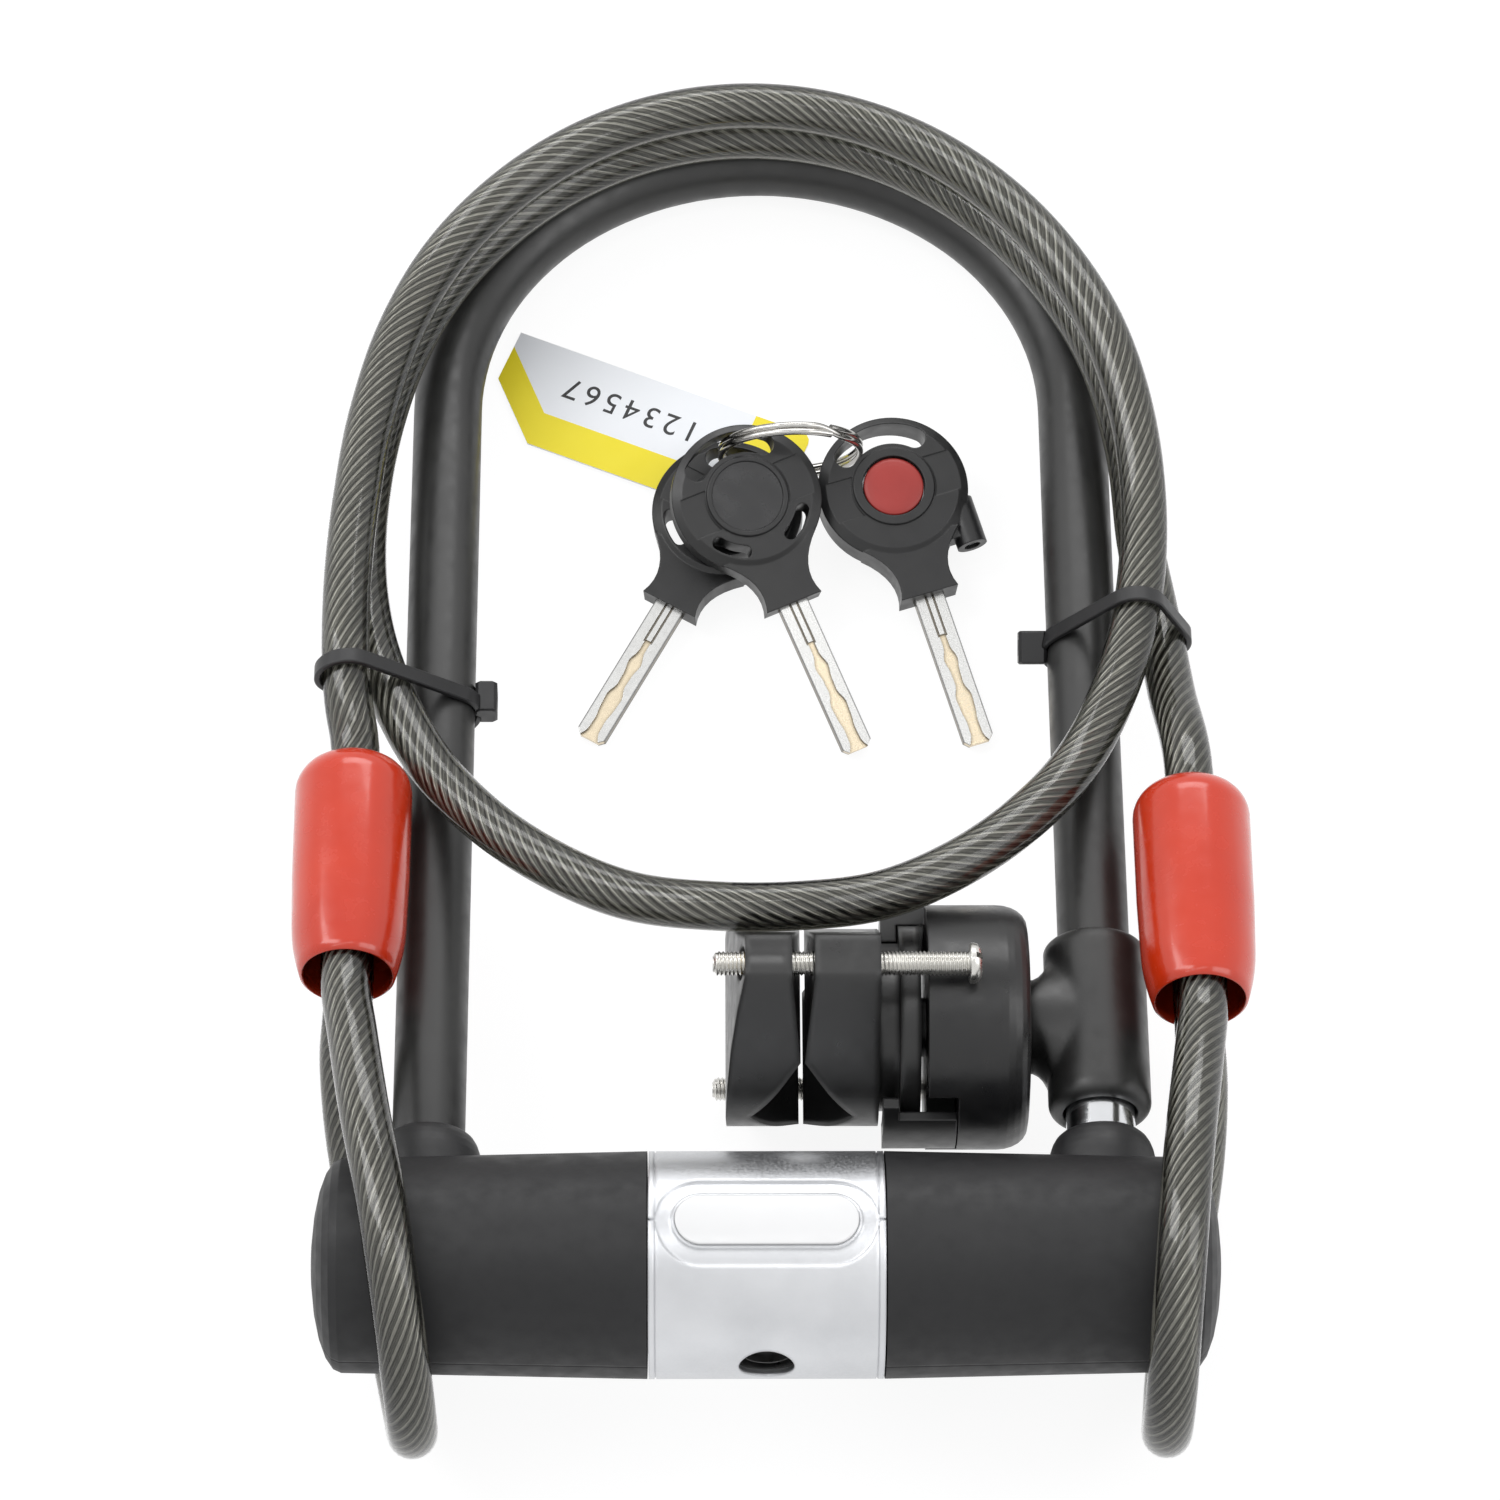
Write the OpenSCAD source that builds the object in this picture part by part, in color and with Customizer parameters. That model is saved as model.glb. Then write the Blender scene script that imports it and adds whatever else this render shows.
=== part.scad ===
// U lock with a quick-release frame bracket, a looped cable and a set of three keys.
// Millimetres, +Z up. The lock leans on its bow and on the bracket; the keys lie on the floor inside it.

/* [Crossbar] */
// Crossbar length from tip to tip
bar_len = 180; // [170:1:200]
// Build-up from the steel tube to the outside of the collar
collar_over = 5; // [4.8:0.1:6]
// Drop of the cover's radius from the collar to its end
cover_drop = 1.3; // [0.5:0.1:2]
// Height of the domed ends
dome_h = 6; // [4:0.5:8]
// Outer diameter of the steel tube
tube_d = 35; // [33:0.5:37]
// Wall of the steel tube
tube_wall = 3; // [2:0.25:3.5]
// Length of the turning collar
collar_len = 46.4; // [40:0.4:54]
// Wall of the turning collar
collar_wall = 1.5; // [1:0.1:1.8]
// Length of the oval grip on the collar
grip_len = 36; // [30:0.5:37]
// Width of the oval grip on the collar
grip_w = 10.3; // [9:0.1:13]
// Radius of the cuffs that the legs enter
cuff_r = 10.8; // [9.5:0.1:12]
// Height of the cuffs above the covers
cuff_rise = 6.6; // [5:0.2:9]

/* [Lock cylinder] */
// Radius of the cylinder housing
housing_r = 7.5; // [7:0.1:8.5]
// Radius of the keyhole
keyhole_r = 5.2; // [5.1:0.05:5.6]
// Radius of the turning plug
plug_r = 4.95; // [4.8:0.05:5]
// Distance of the drive pins from the plug axis
cam_pin_dist = 5.5; // [5:0.1:6]
// Radius of the drive pins
cam_pin_r = 1.5; // [1.2:0.1:1.8]
// Count of wafers in the plug
wafer_count = 6; // [4:1:7]
// Thickness of the bolts
bolt_t = 5.4; // [4:0.2:6]

/* [Shackle] */
// Diameter of the steel bar
steel_d = 14; // [12:0.5:16]
// Thickness of the coating
coat_t = 0.35; // [0.2:0.05:0.8]
// Distance of each leg axis from its end of the crossbar
leg_inset = 22.5; // [21:0.5:25]
// Clear length inside, from the crossbar to the bow
inside_len = 245; // [230:1:270]
// Reach of the legs past the crossbar axis
leg_reach = 12; // [8:0.5:12.5]
// Length of bare steel above the right cuff
bare_len = 14.2; // [8:0.2:18]
// Depth of the bolt notches in the legs
notch_depth = 4; // [2:0.25:5]

/* [Bracket] */
// Distance of the bracket axis from the crossbar axis
bracket_v = 54; // [52:0.5:56]
// Diameter of the carrier on the leg
carrier_d = 20.8; // [20:0.2:23]
// Length of the carrier on the leg
carrier_len = 38.2; // [36:0.2:39]
// Radius of the carrier's neck
neck_r = 9.4; // [7:0.1:9.5]
// Diameter of the round release head
head_d = 49.6; // [46:0.2:50]
// Length of the release head along its axis
head_t = 20.5; // [18:0.5:21]
// Diameter of the clamp's round flange
flange_d = 41; // [38:0.5:42]
// Diameter of the clamp's jaws
jaw_d = 40; // [36:0.5:41]
// Depth of the V groove in each jaw
vee_depth = 10.5; // [8:0.25:11.5]
// Half height of the V groove
vee_half = 14.5; // [12:0.25:16]
// Thickness of each jaw at its middle
jaw_t = 15.4; // [14:0.2:17]
// Gap between the jaws beside the V groove
jaw_gap = 0.9; // [0.8:0.1:3]
// Distance of the clamp screws from the bracket axis
screw_dist = 29.5; // [29.4:0.1:31]
// Diameter of the clamp screws
screw_d = 5; // [4:0.5:5]
// Length of the clamp screws under the head
screw_len = 51; // [48:0.5:53]
// Radius of the ears round the clamp screws
ear_r = 5.8; // [5.5:0.1:6.2]
// Turn of the clamp about the bracket axis
clamp_turn = 4; // [0:0.5:6]

/* [Cable] */
// Diameter of the coated cable
cable_d = 10; // [8:0.5:10.2]
// Distance of the cable's loop from the leg axes
loop_over = 15; // [14.5:0.25:16.5]
// Half length of the cable's loop
loop_half_l = 102.5; // [102:0.25:104]
// Diameter of the end sleeves
sleeve_d = 24; // [23.6:0.2:25]
// Length of the end sleeves
sleeve_len = 50; // [46:0.5:52]
// Wall of the end sleeves
sleeve_wall = 0.9; // [0.6:0.1:1]
// Width of the cable ties
tie_w = 3.4; // [2.5:0.1:4.8]
// Thickness of the cable ties
tie_t = 1.3; // [1:0.1:1.6]

/* [Keys] */
// Radius of the key heads
key_r = 16.2; // [15:0.2:17]
// Thickness of the plain key heads
key_t = 6.4; // [5:0.2:6.6]
// Thickness of the light key's head
light_t = 8.4; // [8:0.2:9]
// Length of a key from the middle of its head to its tip
key_len = 59.4; // [57:0.2:62]
// Width of a key blade
blade_w = 6.6; // [6:0.1:7]
// Thickness of a key blade
blade_t = 2.2; // [1.8:0.1:2.4]
// Radius of the split ring at the middle of its wire
ring_r = 15; // [15:0.1:15.4]
// Radius of the split ring's wire
wire_r = 0.75; // [0.6:0.05:0.8]
// Length of the card tag
tag_len = 69.5; // [66:0.5:74]
// Width of the card tag
tag_w = 25; // [20:0.5:26]

/* [Hidden] */
$fn = 64;

// Clearances
slide_gap = 0.3;
run_gap = 0.05;
far = 200;

// Crossbar sizes
tube_r = tube_d / 2;
bore_r = tube_r - tube_wall;
collar_r = tube_r + collar_over;
collar_in_r = collar_r - collar_wall;
core_r = collar_in_r - slide_gap;
cover_end_r = collar_r - cover_drop;
cover_x0 = collar_len / 2 + slide_gap;
dome_wall = 2;
tube_half = bar_len / 2 - dome_h - dome_wall;
end_plate_t = 3;
leg_x = bar_len / 2 - leg_inset;
steel_r = steel_d / 2;
coat_r = steel_r + coat_t;
cuff_bore_r = steel_r + slide_gap;
cuff_lip = 0.8;
cuff_lip_r = cuff_bore_r + cuff_lip;
cuff_top = cover_end_r + cuff_rise;
valley_w = 3.8;
grip_turn = 4;
valley_depth = 0.6;
grip_rise = 0.35;
lip_w = 0.7;
seam_w = 0.5;
end_ring_w = 1.3;
end_groove_w = 0.35;
end_groove_depth = 0.3;
dome_step = 15;

// Lock cylinder sizes, along the crossbar's front to back line
nose_v = -sqrt(core_r * core_r - housing_r * housing_r) + slide_gap;
keyhole_depth = 3;
plug_v = nose_v + keyhole_depth;
cam_v = 2;
cam_t = 2.2;
cam_rim = 0.2;
cam_r = cam_pin_dist + cam_pin_r + cam_rim;
cam_gap = 0.4;
bolt_v = cam_v + cam_t + cam_gap;
plug_turn_range = 90;
pin_rest_x = cam_pin_dist * sin(plug_turn_range / 2);
pin_rest_w = cam_pin_dist * cos(plug_turn_range / 2);
key_slot_gap = 0.4;
key_slot_w = blade_t + key_slot_gap;
key_slot_h = blade_w + key_slot_gap;
wafer_t = 1;
wafer_w = 5.6;
wafer_h = 8;
wafer_gap = 0.1;
plug_wall = 1;
wafer_from = 1.5;
wafer_pitch = (cam_v - plug_v - 2 * plug_wall) / wafer_count;

// Bolt sizes
bolt_half_h = 4.5;
bolt_tail_x0 = -8;
bolt_body_x0 = 14;
bolt_clear = 4.5;
bolt_tip_x = leg_x - steel_r - bolt_clear;
bolt_tail_low = 1;
bolt_tail_wall = 1.8;
bolt_tail_high = cam_pin_dist + cam_pin_r + bolt_tail_wall;
bolt_web = 3;
pin_clear = 0.3;
guide_t = 7;
guide_shift = 4;
guide_x = (bolt_body_x0 + bolt_tip_x) / 2 + guide_shift;

// Shackle
bow_v = collar_r + inside_len - (leg_x - coat_r);
left_coat_v = cuff_top + slide_gap;
right_coat_v = cuff_top + bare_len;
leg_chamfer = 1.5;

// Bracket sizes, along the bracket axis from the head towards the clamp
neck_len = 14.4;
head_x1 = leg_x - neck_len;
head_x0 = head_x1 - head_t;
head_r = head_d / 2;
rim_len = 6.2;
rim_drop = 4.2;
flange_gap = 1.4;
flange_t = 4.1;
step_t = 3.8;
flange_r = flange_d / 2;
flange_lip = 3.5;
step_r = flange_r - flange_lip;
flange_x1 = head_x0 - flange_gap;
flange_x0 = flange_x1 - flange_t;
base_x1 = flange_x0 - step_t;
jaw_back_gap = 0.4;
bore_x = base_x1 - jaw_back_gap - jaw_t;
jaw_r = jaw_d / 2;
ear_gap_extra = 1.9;
arc_steps = 12;
ear_rest = 4.2;
ear_flat = 3.98;
jaw_span = screw_dist + ear_flat;
jaw_bulge = 3.9;
jaw_steps = 4;
pivot_r = 6;
pivot_len = 12;
claw_half = 8.5;
screw_r = screw_d / 2;
screw_gap = 0.15;
screw_hole_r = screw_r + screw_gap;
screw_head_r = screw_dist - head_r - 2 * slide_gap;
screw_head_t = 2.6;
screw_out = 2.6;
screw_x0 = bore_x - jaw_t - screw_out;
insert_wall = 1;
insert_r = screw_r + insert_wall;
insert_len = 8;
insert_x0 = bore_x - jaw_t + jaw_bulge;
carrier_screw_r = 2;
carrier_screw_head_r = pivot_r - 1;
carrier_screw_head_t = 1.6;
latch_pocket_len = 5.8;
latch_pocket_depth = 10;
latch_pocket_w = 10.5;
latch_ledge_w = 5;
latch_block_w = -2;
latch_arm_t = 2;
hook_x0 = base_x1 + slide_gap;
hook_x1 = flange_x0 - slide_gap;
hook_over = 0.8;
hook_r = flange_r - hook_over;
carrier_r = carrier_d / 2;
carrier_bore_r = coat_r + slide_gap;
carrier_edge = 1.2;
carrier_foot = 2.4;
carrier_drop = 1.1;
neck_straight = 0.3;
flare_run = 4.4;
flare_rise = 5.6;
neck_half_v = 16.5;
neck_side_r = (neck_r * neck_r + neck_half_v * neck_half_v) / (2 * neck_r);

// Lean of the lock: its bow and the lower ear of the clamp both touch the floor
ear_v = bracket_v + screw_dist * sin(clamp_turn);
ear_w = screw_dist * cos(clamp_turn);
lean_run = bow_v + leg_x - ear_v;
lock_tilt = atan2(ear_w, lean_run) + asin((ear_rest - coat_r) / norm([lean_run, ear_w]));
lock_z = (bow_v + leg_x) * sin(lock_tilt) + coat_r;
lock_y = -((bow_v + leg_x) * cos(lock_tilt) + coat_r - collar_r) / 2;

// Cable loop: centre, turns and the height of the cable at chosen angles from its left side
loop_x = -2;
loop_v = 169.5;
loop_from = 12;
loop_to = 540;
loop_step = 12;
loop_heights = [[0, 20], [12, 20.4], [35, 23.9], [152, 23.9], [190, 15], [213, 13.2], [240, 20], [270, 26.2],
                [300, 20], [325, 13.2], [360, 5.5], [395, 13.1], [512, 13.1], [540, 5]];
loop_half_w = leg_x + loop_over;
cable_r = cable_d / 2;
cable_sides = 10;
sleeve_w = 14;
strand_gap = 0.5;
strand_off = cable_r + strand_gap / 2;
left_out = 16.5;
right_out = 20;
left_sleeve_x = -leg_x - left_out;
right_sleeve_x = leg_x + right_out;
left_sleeve_v = 58;
right_sleeve_v = 52;
crimp_from = 12;
crimp_len = 26;
crimp_r = 5.3;
strand_run = 4;
crimp_to = crimp_from + crimp_len;
upper_strand = sleeve_w + strand_off;
lower_strand = sleeve_w - strand_off;
left_crimp_v = left_sleeve_v + crimp_from;
left_strand_v = left_sleeve_v - strand_run;
right_crimp_v = right_sleeve_v + crimp_from;
right_strand_v = right_sleeve_v - strand_run;
left_lead = beside(-1, [
    [left_out, left_sleeve_v + crimp_to, sleeve_w], [left_out, 112, sleeve_w],
    [18.1, 122, 17], [18.9, 134, 19.6], [18.9, 152, 20], [17.7, 171, 20]]);
right_lead = beside(1, [
    [15.1, 156, 3.4], [16.8, 143, 4], [18.1, 129, 7], [19.5, 116, 12],
    [right_out, 106, sleeve_w], [right_out, right_sleeve_v + crimp_to, sleeve_w]]);
left_eye_route = beside(-1, [
    [left_out, left_crimp_v, upper_strand], [left_out, left_strand_v, upper_strand],
    [14.5, 40, 22.5], [11.5, 21, 26.6], [8, 3, 27.8], [5.5, -12, 25.2], [3.5, -24, 17], [2.3, -31, 6],
    [2, -32.5, -6], [2.7, -28, -18], [4.1, -19, -28], [6.3, -7, -33.6], [9, 5, -34], [12, 17, -30],
    [15, 28, -22], [16.9, 38, -11], [17.5, 47, 0],
    [left_out, left_strand_v, lower_strand], [left_out, left_crimp_v, lower_strand]]);
right_eye_route = beside(1, [
    [right_out, right_crimp_v, upper_strand], [right_out, right_strand_v, upper_strand],
    [18.5, 36, 22.5], [16.1, 19, 26.6], [14.1, 3, 27.8], [12.7, -12, 25.2], [11.7, -24, 17], [11.3, -31, 6],
    [11.3, -32.5, -6], [11.9, -28, -18], [13.1, -19, -28], [14.5, -7, -33.6], [16.5, 5, -34],
    [18.5, 16, -30], [20.1, 25, -22], [21.1, 33, -12], [21.1, 41, -1],
    [right_out, right_strand_v, lower_strand], [right_out, right_crimp_v, lower_strand]]);
sleeve_round = 7;
sleeve_taper = 0.7;
tie_clear = 0.7;
left_tie_v = 131;
right_tie_v = 146;
left_bundle = [[-leg_x, 0, coat_r], [-leg_x - 18.7, 19, cable_r], [-leg_x - 10.7, 10.8, cable_r]];
right_bundle = [[leg_x, 0, coat_r], [leg_x + 10.7, 14.8, cable_r], [leg_x + 16.5, 3.8, cable_r]];
tie_head = [5, 7, 6];
tie_head_in = 0.1;
tie_head_x = leg_x - coat_r - tie_clear - tie_t - tie_head[0] / 2 + tie_head_in;

// Keys: head details, then the place, turn and pitch of each
slot_in = 4;
slot_r = key_r - slot_in;
slot_w = 4.8;
slot_arc = 80;
small_slot_w = 2.8;
small_slot_arc = 28;
small_slot_turn = 140;
rim_bevel = 2.2;
rim_bevel_t = 1.2;
neck_from = 12;
neck_waist = 21.5;
neck_end = 25;
neck_waist_w = 11.4;
neck_end_w = 12.8;
neck_steps = 8;
neck_thin = 0.6;
blade_root = 14;
blade_point = 1.2;
flute_off = 0.8;
flute_w = 0.5;
flute_depth = 0.3;
track_from = 9;
track_depth = 0.6;
track_steps = 27;
track_halves = [0.7, 0.7, 1.5, 1, 0.9, 1.8, 1.6, 1.2, 1.3, 2.5];
cap_r = 7.7;
cap_depth = 1.2;
bezel_w = 1;
bezel_rise = 0.5;
bezel_slope = 0.5;
band_half = 4.6;
band_depth = 0.3;
band_from = cap_r + bezel_w + bezel_slope;
cap_rise = 0.3;
button_r = 6.5;
button_rise = -0.2;
button_dome = 0.8;
button_depth = 2.4;
button_travel = 0.8;
button_gap = 0.1;
cell_r = 8;
cell_t = 2;
nozzle_x = 12.8;
nozzle_y = -6;
nozzle_r = 3.3;
nozzle_len = 10.5;
web_half = 2.4;
web_short = 2;
lens_r = 1.8;
lens_t = 2;
lens_in = 0.8;
front_key_place = [-3.2, 54.1, 17.35];
front_key_turn = 24.6;
front_key_pitch = 14.8;
rear_key_place = [-7.1, 55.9, 7.35];
rear_key_turn = -30;
rear_key_pitch = 5.6;
light_key_place = [28.5, 59.4, 10.6];
light_key_turn = 17.9;
light_key_pitch = 8.4;
ring_place = [6.4, 69.6, 0.3];
ring_turn = 2;
ring_lean = 9.7;
tag_t = 0.5;
tag_place = [6.6, 66, 0.05];
tag_turn = -23;
tag_lean = 2;
tag_hole_r = 3.8;
tag_hole = [-7.8, 0];

// Vector helpers
function unit(v) = v / norm(v);
function smooth(s) = s * s * (3 - 2 * s);
function between(a, b, t) = a[1] + (b[1] - a[1]) * smooth((t - a[0]) / (b[0] - a[0]));
function height_at(t, i = 0) =
    t <= loop_heights[i + 1][0] ? between(loop_heights[i], loop_heights[i + 1], t) : height_at(t, i + 1);
function beside(side, steps) =
    [for (p = steps) [side * (leg_x + p[0]), p[1], p[2]]];
function loop_point(t) =
    [loop_x - loop_half_w * cos(t), loop_v + loop_half_l * sin(t), height_at(t)];

// Rings of points around a route, square to it
function tangent(route, i) =
    unit(route[min(i + 1, len(route) - 1)] - route[max(i - 1, 0)]);
function ring_points(route, i, side, r, n) =
    let (t = tangent(route, i), a = unit(cross(side, t)), b = cross(t, a))
    [for (k = [0:n - 1]) route[i] + r * (cos(360 * k / n) * a + sin(360 * k / n) * b)];

// Least distance of a route from itself, leaving out near neighbours along it
function dense(route, k) =
    [for (i = [0:len(route) - 2]) for (j = [0:k - 1]) route[i] + (route[i + 1] - route[i]) * j / k];
function self_gap(route, skip, d) =
    min([for (i = [0:len(route) - 1]) for (j = [i + skip:1:len(route) - 1]) norm(route[i] - route[j])]) - d;

loop_route = [for (t = [loop_from:loop_step:loop_to]) loop_point(t)];
coil_route = concat(left_lead, loop_route, right_lead);
gap_parts = 3;
gap_skip = 12;
echo(coil_gap_to_itself = self_gap(dense(coil_route, gap_parts), gap_skip, cable_d));

// Placing helpers: in the lock's own frame x runs along the crossbar, y to the bow and z out of its plane
module on_lock() {
    translate([0, lock_y, lock_z])
        rotate([-lock_tilt, 0, 0])
            children();
}
module along_x(x0, x1) {
    translate([x0, 0, 0])
        rotate([90, 0, 90])
            linear_extrude(x1 - x0)
                children();
}
module along_y(y0, y1) {
    translate([0, y1, 0])
        rotate([90, 0, 0])
            linear_extrude(y1 - y0)
                children();
}
module rod_x(r, x0, x1) {
    translate([x0, 0, 0])
        rotate([0, 90, 0])
            cylinder(r = r, h = x1 - x0);
}
module rod_y(r, y0, y1) {
    translate([0, y0, 0])
        rotate([-90, 0, 0])
            cylinder(r = r, h = y1 - y0);
}
module turned_x() {
    rotate([0, 90, 0])
        rotate_extrude()
            children();
}
module turned_y() {
    rotate([-90, 0, 0])
        rotate_extrude()
            children();
}
module box(low, high) {
    translate(low)
        cube(high - low);
}
module oval(length, width) {
    for (s = [-1, 1])
        translate([s * (length - width) / 2, 0])
            circle(d = width);
    square([length - width, width], center = true);
}
module tube_along(route, side, r, n) {
    count = len(route);
    points = [for (i = [0:count - 1]) for (p = ring_points(route, i, side, r, n)) p];
    walls = [for (i = [0:count - 2]) for (k = [0:n - 1])
                let (a = i * n + k, b = i * n + (k + 1) % n)
                for (face = [[a, a + n, b], [b, a + n, b + n]]) face];
    first_cap = [for (k = [1:n - 2]) [0, k, k + 1]];
    last = (count - 1) * n;
    last_cap = [for (k = [1:n - 2]) [last, last + k + 1, last + k]];
    polyhedron(points, concat(walls, first_cap, last_cap));
}

// Crossbar
module at_leg(s) {
    translate([s * leg_x, 0, 0])
        children();
}
module crossbar_tube() {
    color("dimgray")
        on_lock()
            difference() {
                rod_x(tube_r, -tube_half, tube_half);
                rod_x(bore_r, -tube_half - 1, tube_half + 1);
                for (s = [-1, 1])
                    at_leg(s)
                        rod_y(cuff_bore_r, 0, far);
                rod_y(housing_r + run_gap, -far, 0);
            }
}
module tube_end_plates() {
    color("gray")
        on_lock()
            for (s = [-1, 1])
                mirror([s < 0 ? 1 : 0, 0, 0])
                    rod_x(bore_r, tube_half - end_plate_t, tube_half);
}
module cover() {
    difference() {
        turned_x()
            polygon(concat([[tube_r, cover_x0], [collar_r, cover_x0]],
                           [for (a = [0:dome_step:90])
                               [cover_end_r * cos(a), bar_len / 2 - dome_h * (1 - sin(a))]],
                           [[0, tube_half], [tube_r, tube_half]]));
        at_leg(1)
            rod_y(cuff_r, 0, far);
    }
}
module left_cover() {
    color([0.12, 0.12, 0.12])
        on_lock()
            mirror([1, 0, 0])
                cover();
}
module right_cover() {
    color([0.12, 0.12, 0.12])
        on_lock()
            cover();
}
module cuff() {
    difference() {
        at_leg(1)
            turned_y()
                polygon(concat([[cuff_bore_r, 0], [cuff_r, 0]],
                               [for (a = [0:dome_step:90])
                                   [cuff_lip_r + (cuff_r - cuff_lip_r) * cos(a),
                                    cover_end_r + cuff_rise * sin(a)]],
                               [[cuff_bore_r, cuff_top]]));
        rod_x(tube_r, 0, bar_len);
    }
}
module left_cuff() {
    color([0.1, 0.1, 0.1])
        on_lock()
            mirror([1, 0, 0])
                cuff();
}
module right_cuff() {
    color([0.1, 0.1, 0.1])
        on_lock()
            cuff();
}
module collar_core() {
    color("darkslategray")
        on_lock()
            difference() {
                rod_x(core_r, -collar_len / 2, collar_len / 2);
                rod_x(tube_r, -collar_len, collar_len);
                rod_y(housing_r + run_gap, -far, 0);
            }
}
module grip_oval(grow) {
    oval(grip_len + 2 * grow, grip_w + 2 * grow);
}
module on_grip() {
    rotate([grip_turn, 0, 0])
        linear_extrude(far)
            children();
}
module grip_recess() {
    seam_x = grip_len / 2 + valley_w - seam_w;
    on_grip() {
        grip_oval(run_gap);
        difference() {
            grip_oval(valley_w);
            grip_oval(lip_w);
        }
        for (s = [0, 180])
            rotate(s)
                translate([seam_x, -seam_w / 2])
                    square([collar_len / 2, seam_w]);
    }
}
module end_grooves() {
    groove_x = collar_len / 2 - end_ring_w;
    for (s = [-1, 1])
        translate([s * groove_x, 0, 0])
            difference() {
                rod_x(collar_r + 1, -end_groove_w / 2, end_groove_w / 2);
                rod_x(collar_r - end_groove_depth, -end_groove_w, end_groove_w);
            }
}
module key_collar() {
    color("silver")
        on_lock()
            difference() {
                rod_x(collar_r, -collar_len / 2, collar_len / 2);
                rod_x(collar_in_r, -collar_len, collar_len);
                rod_y(keyhole_r + slide_gap, -far, 0);
                difference() {
                    grip_recess();
                    rod_x(collar_r - valley_depth, -collar_len, collar_len);
                }
                end_grooves();
            }
}
module grip_pad() {
    color("white")
        on_lock()
            intersection() {
                on_grip()
                    grip_oval(0);
                difference() {
                    rod_x(collar_r + grip_rise, -collar_len / 2, collar_len / 2);
                    rod_x(collar_r - valley_depth, -collar_len, collar_len);
                }
            }
}

// Lock cylinder and bolts
module cylinder_housing() {
    color("darkgoldenrod")
        on_lock()
            difference() {
                rod_y(housing_r, nose_v, cam_v - slide_gap);
                rod_y(keyhole_r, nose_v - 1, plug_v);
                rod_y(plug_r + run_gap, plug_v - 1, cam_v + 1);
            }
}
module wafer_places() {
    for (i = [0:wafer_count - 1])
        translate([0, plug_v + wafer_from + wafer_pitch * (i + 0.5), 0])
            children();
}
module plate_y(w, h, t) {
    cube([w, t, h], center = true);
}
module lock_plug() {
    color("goldenrod")
        on_lock()
            difference() {
                rod_y(plug_r, plug_v, cam_v);
                box([-key_slot_w / 2, plug_v - 1, -key_slot_h / 2],
                    [key_slot_w / 2, cam_v - plug_wall, key_slot_h / 2]);
                wafer_places()
                    plate_y(wafer_w + 2 * wafer_gap, wafer_h + 2 * wafer_gap, wafer_t + 2 * wafer_gap);
            }
}
module wafers() {
    color("khaki")
        on_lock()
            wafer_places()
                difference() {
                    plate_y(wafer_w, wafer_h, wafer_t);
                    plate_y(key_slot_w, key_slot_h, wafer_t + 1);
                }
}
module drive_cam() {
    color("gray")
        on_lock() {
            rod_y(cam_r, cam_v, cam_v + cam_t);
            for (s = [-1, 1])
                translate([-s * pin_rest_x, 0, s * pin_rest_w])
                    rod_y(cam_pin_r, cam_v, bolt_v + bolt_t);
        }
}
module bolt() {
    slot_half = cam_pin_r + pin_clear;
    difference() {
        union() {
            box([bolt_tail_x0, bolt_v, bolt_tail_low],
                [bolt_body_x0, bolt_v + bolt_t, bolt_tail_high]);
            box([bolt_body_x0 - bolt_web, bolt_v, bolt_tail_low],
                [bolt_body_x0, bolt_v + bolt_t, bolt_half_h]);
            box([bolt_body_x0, bolt_v, -bolt_half_h],
                [bolt_tip_x, bolt_v + bolt_t, bolt_half_h]);
            box([bolt_body_x0, bolt_v, bolt_half_h - 1],
                [bolt_body_x0 + bolt_web, bolt_v + bolt_t, bolt_tail_high]);
        }
        box([-pin_rest_x - slot_half, 0, pin_rest_w - slot_half],
            [-pin_rest_x + slot_half, far, cam_pin_dist + slot_half]);
    }
}
module right_bolt() {
    color("lightsteelblue")
        on_lock()
            bolt();
}
module left_bolt() {
    color("lightsteelblue")
        on_lock()
            rotate([0, 180, 0])
                bolt();
}
module bolt_guides() {
    color("slategray")
        on_lock()
            for (s = [-1, 1])
                difference() {
                    translate([s * guide_x, 0, 0])
                        rod_x(bore_r, -guide_t / 2, guide_t / 2);
                    box([-far, bolt_v - slide_gap, -bolt_half_h - slide_gap],
                        [far, bolt_v + bolt_t + slide_gap, bolt_half_h + slide_gap]);
                }
}

// Shackle
module u_bar(r, left_from, right_from) {
    at_leg(-1)
        rod_y(r, left_from, bow_v);
    at_leg(1)
        rod_y(r, right_from, bow_v);
    translate([0, bow_v, 0])
        rotate_extrude(angle = 180)
            translate([leg_x, 0])
                circle(r = r);
}
module leg_notch() {
    box([0, bolt_v - slide_gap, -far],
        [leg_x - steel_r + notch_depth, bolt_v + bolt_t + slide_gap, far]);
}
module leg_end_cut() {
    at_leg(1)
        turned_y()
            translate([steel_r - leg_chamfer, -leg_reach])
                polygon([[0, 0], [leg_chamfer + 1, leg_chamfer + 1], [leg_chamfer + 1, -1], [0, -1]]);
}
module shackle_bar() {
    color("lightgray")
        on_lock()
            difference() {
                u_bar(steel_r, -leg_reach, -leg_reach);
                for (s = [-1, 1])
                    mirror([s < 0 ? 1 : 0, 0, 0]) {
                        leg_notch();
                        leg_end_cut();
                    }
            }
}
module shackle_coating() {
    color([0.15, 0.15, 0.15])
        on_lock()
            difference() {
                u_bar(coat_r, left_coat_v, right_coat_v);
                u_bar(steel_r, left_coat_v - 1, right_coat_v - 1);
            }
}

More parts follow.
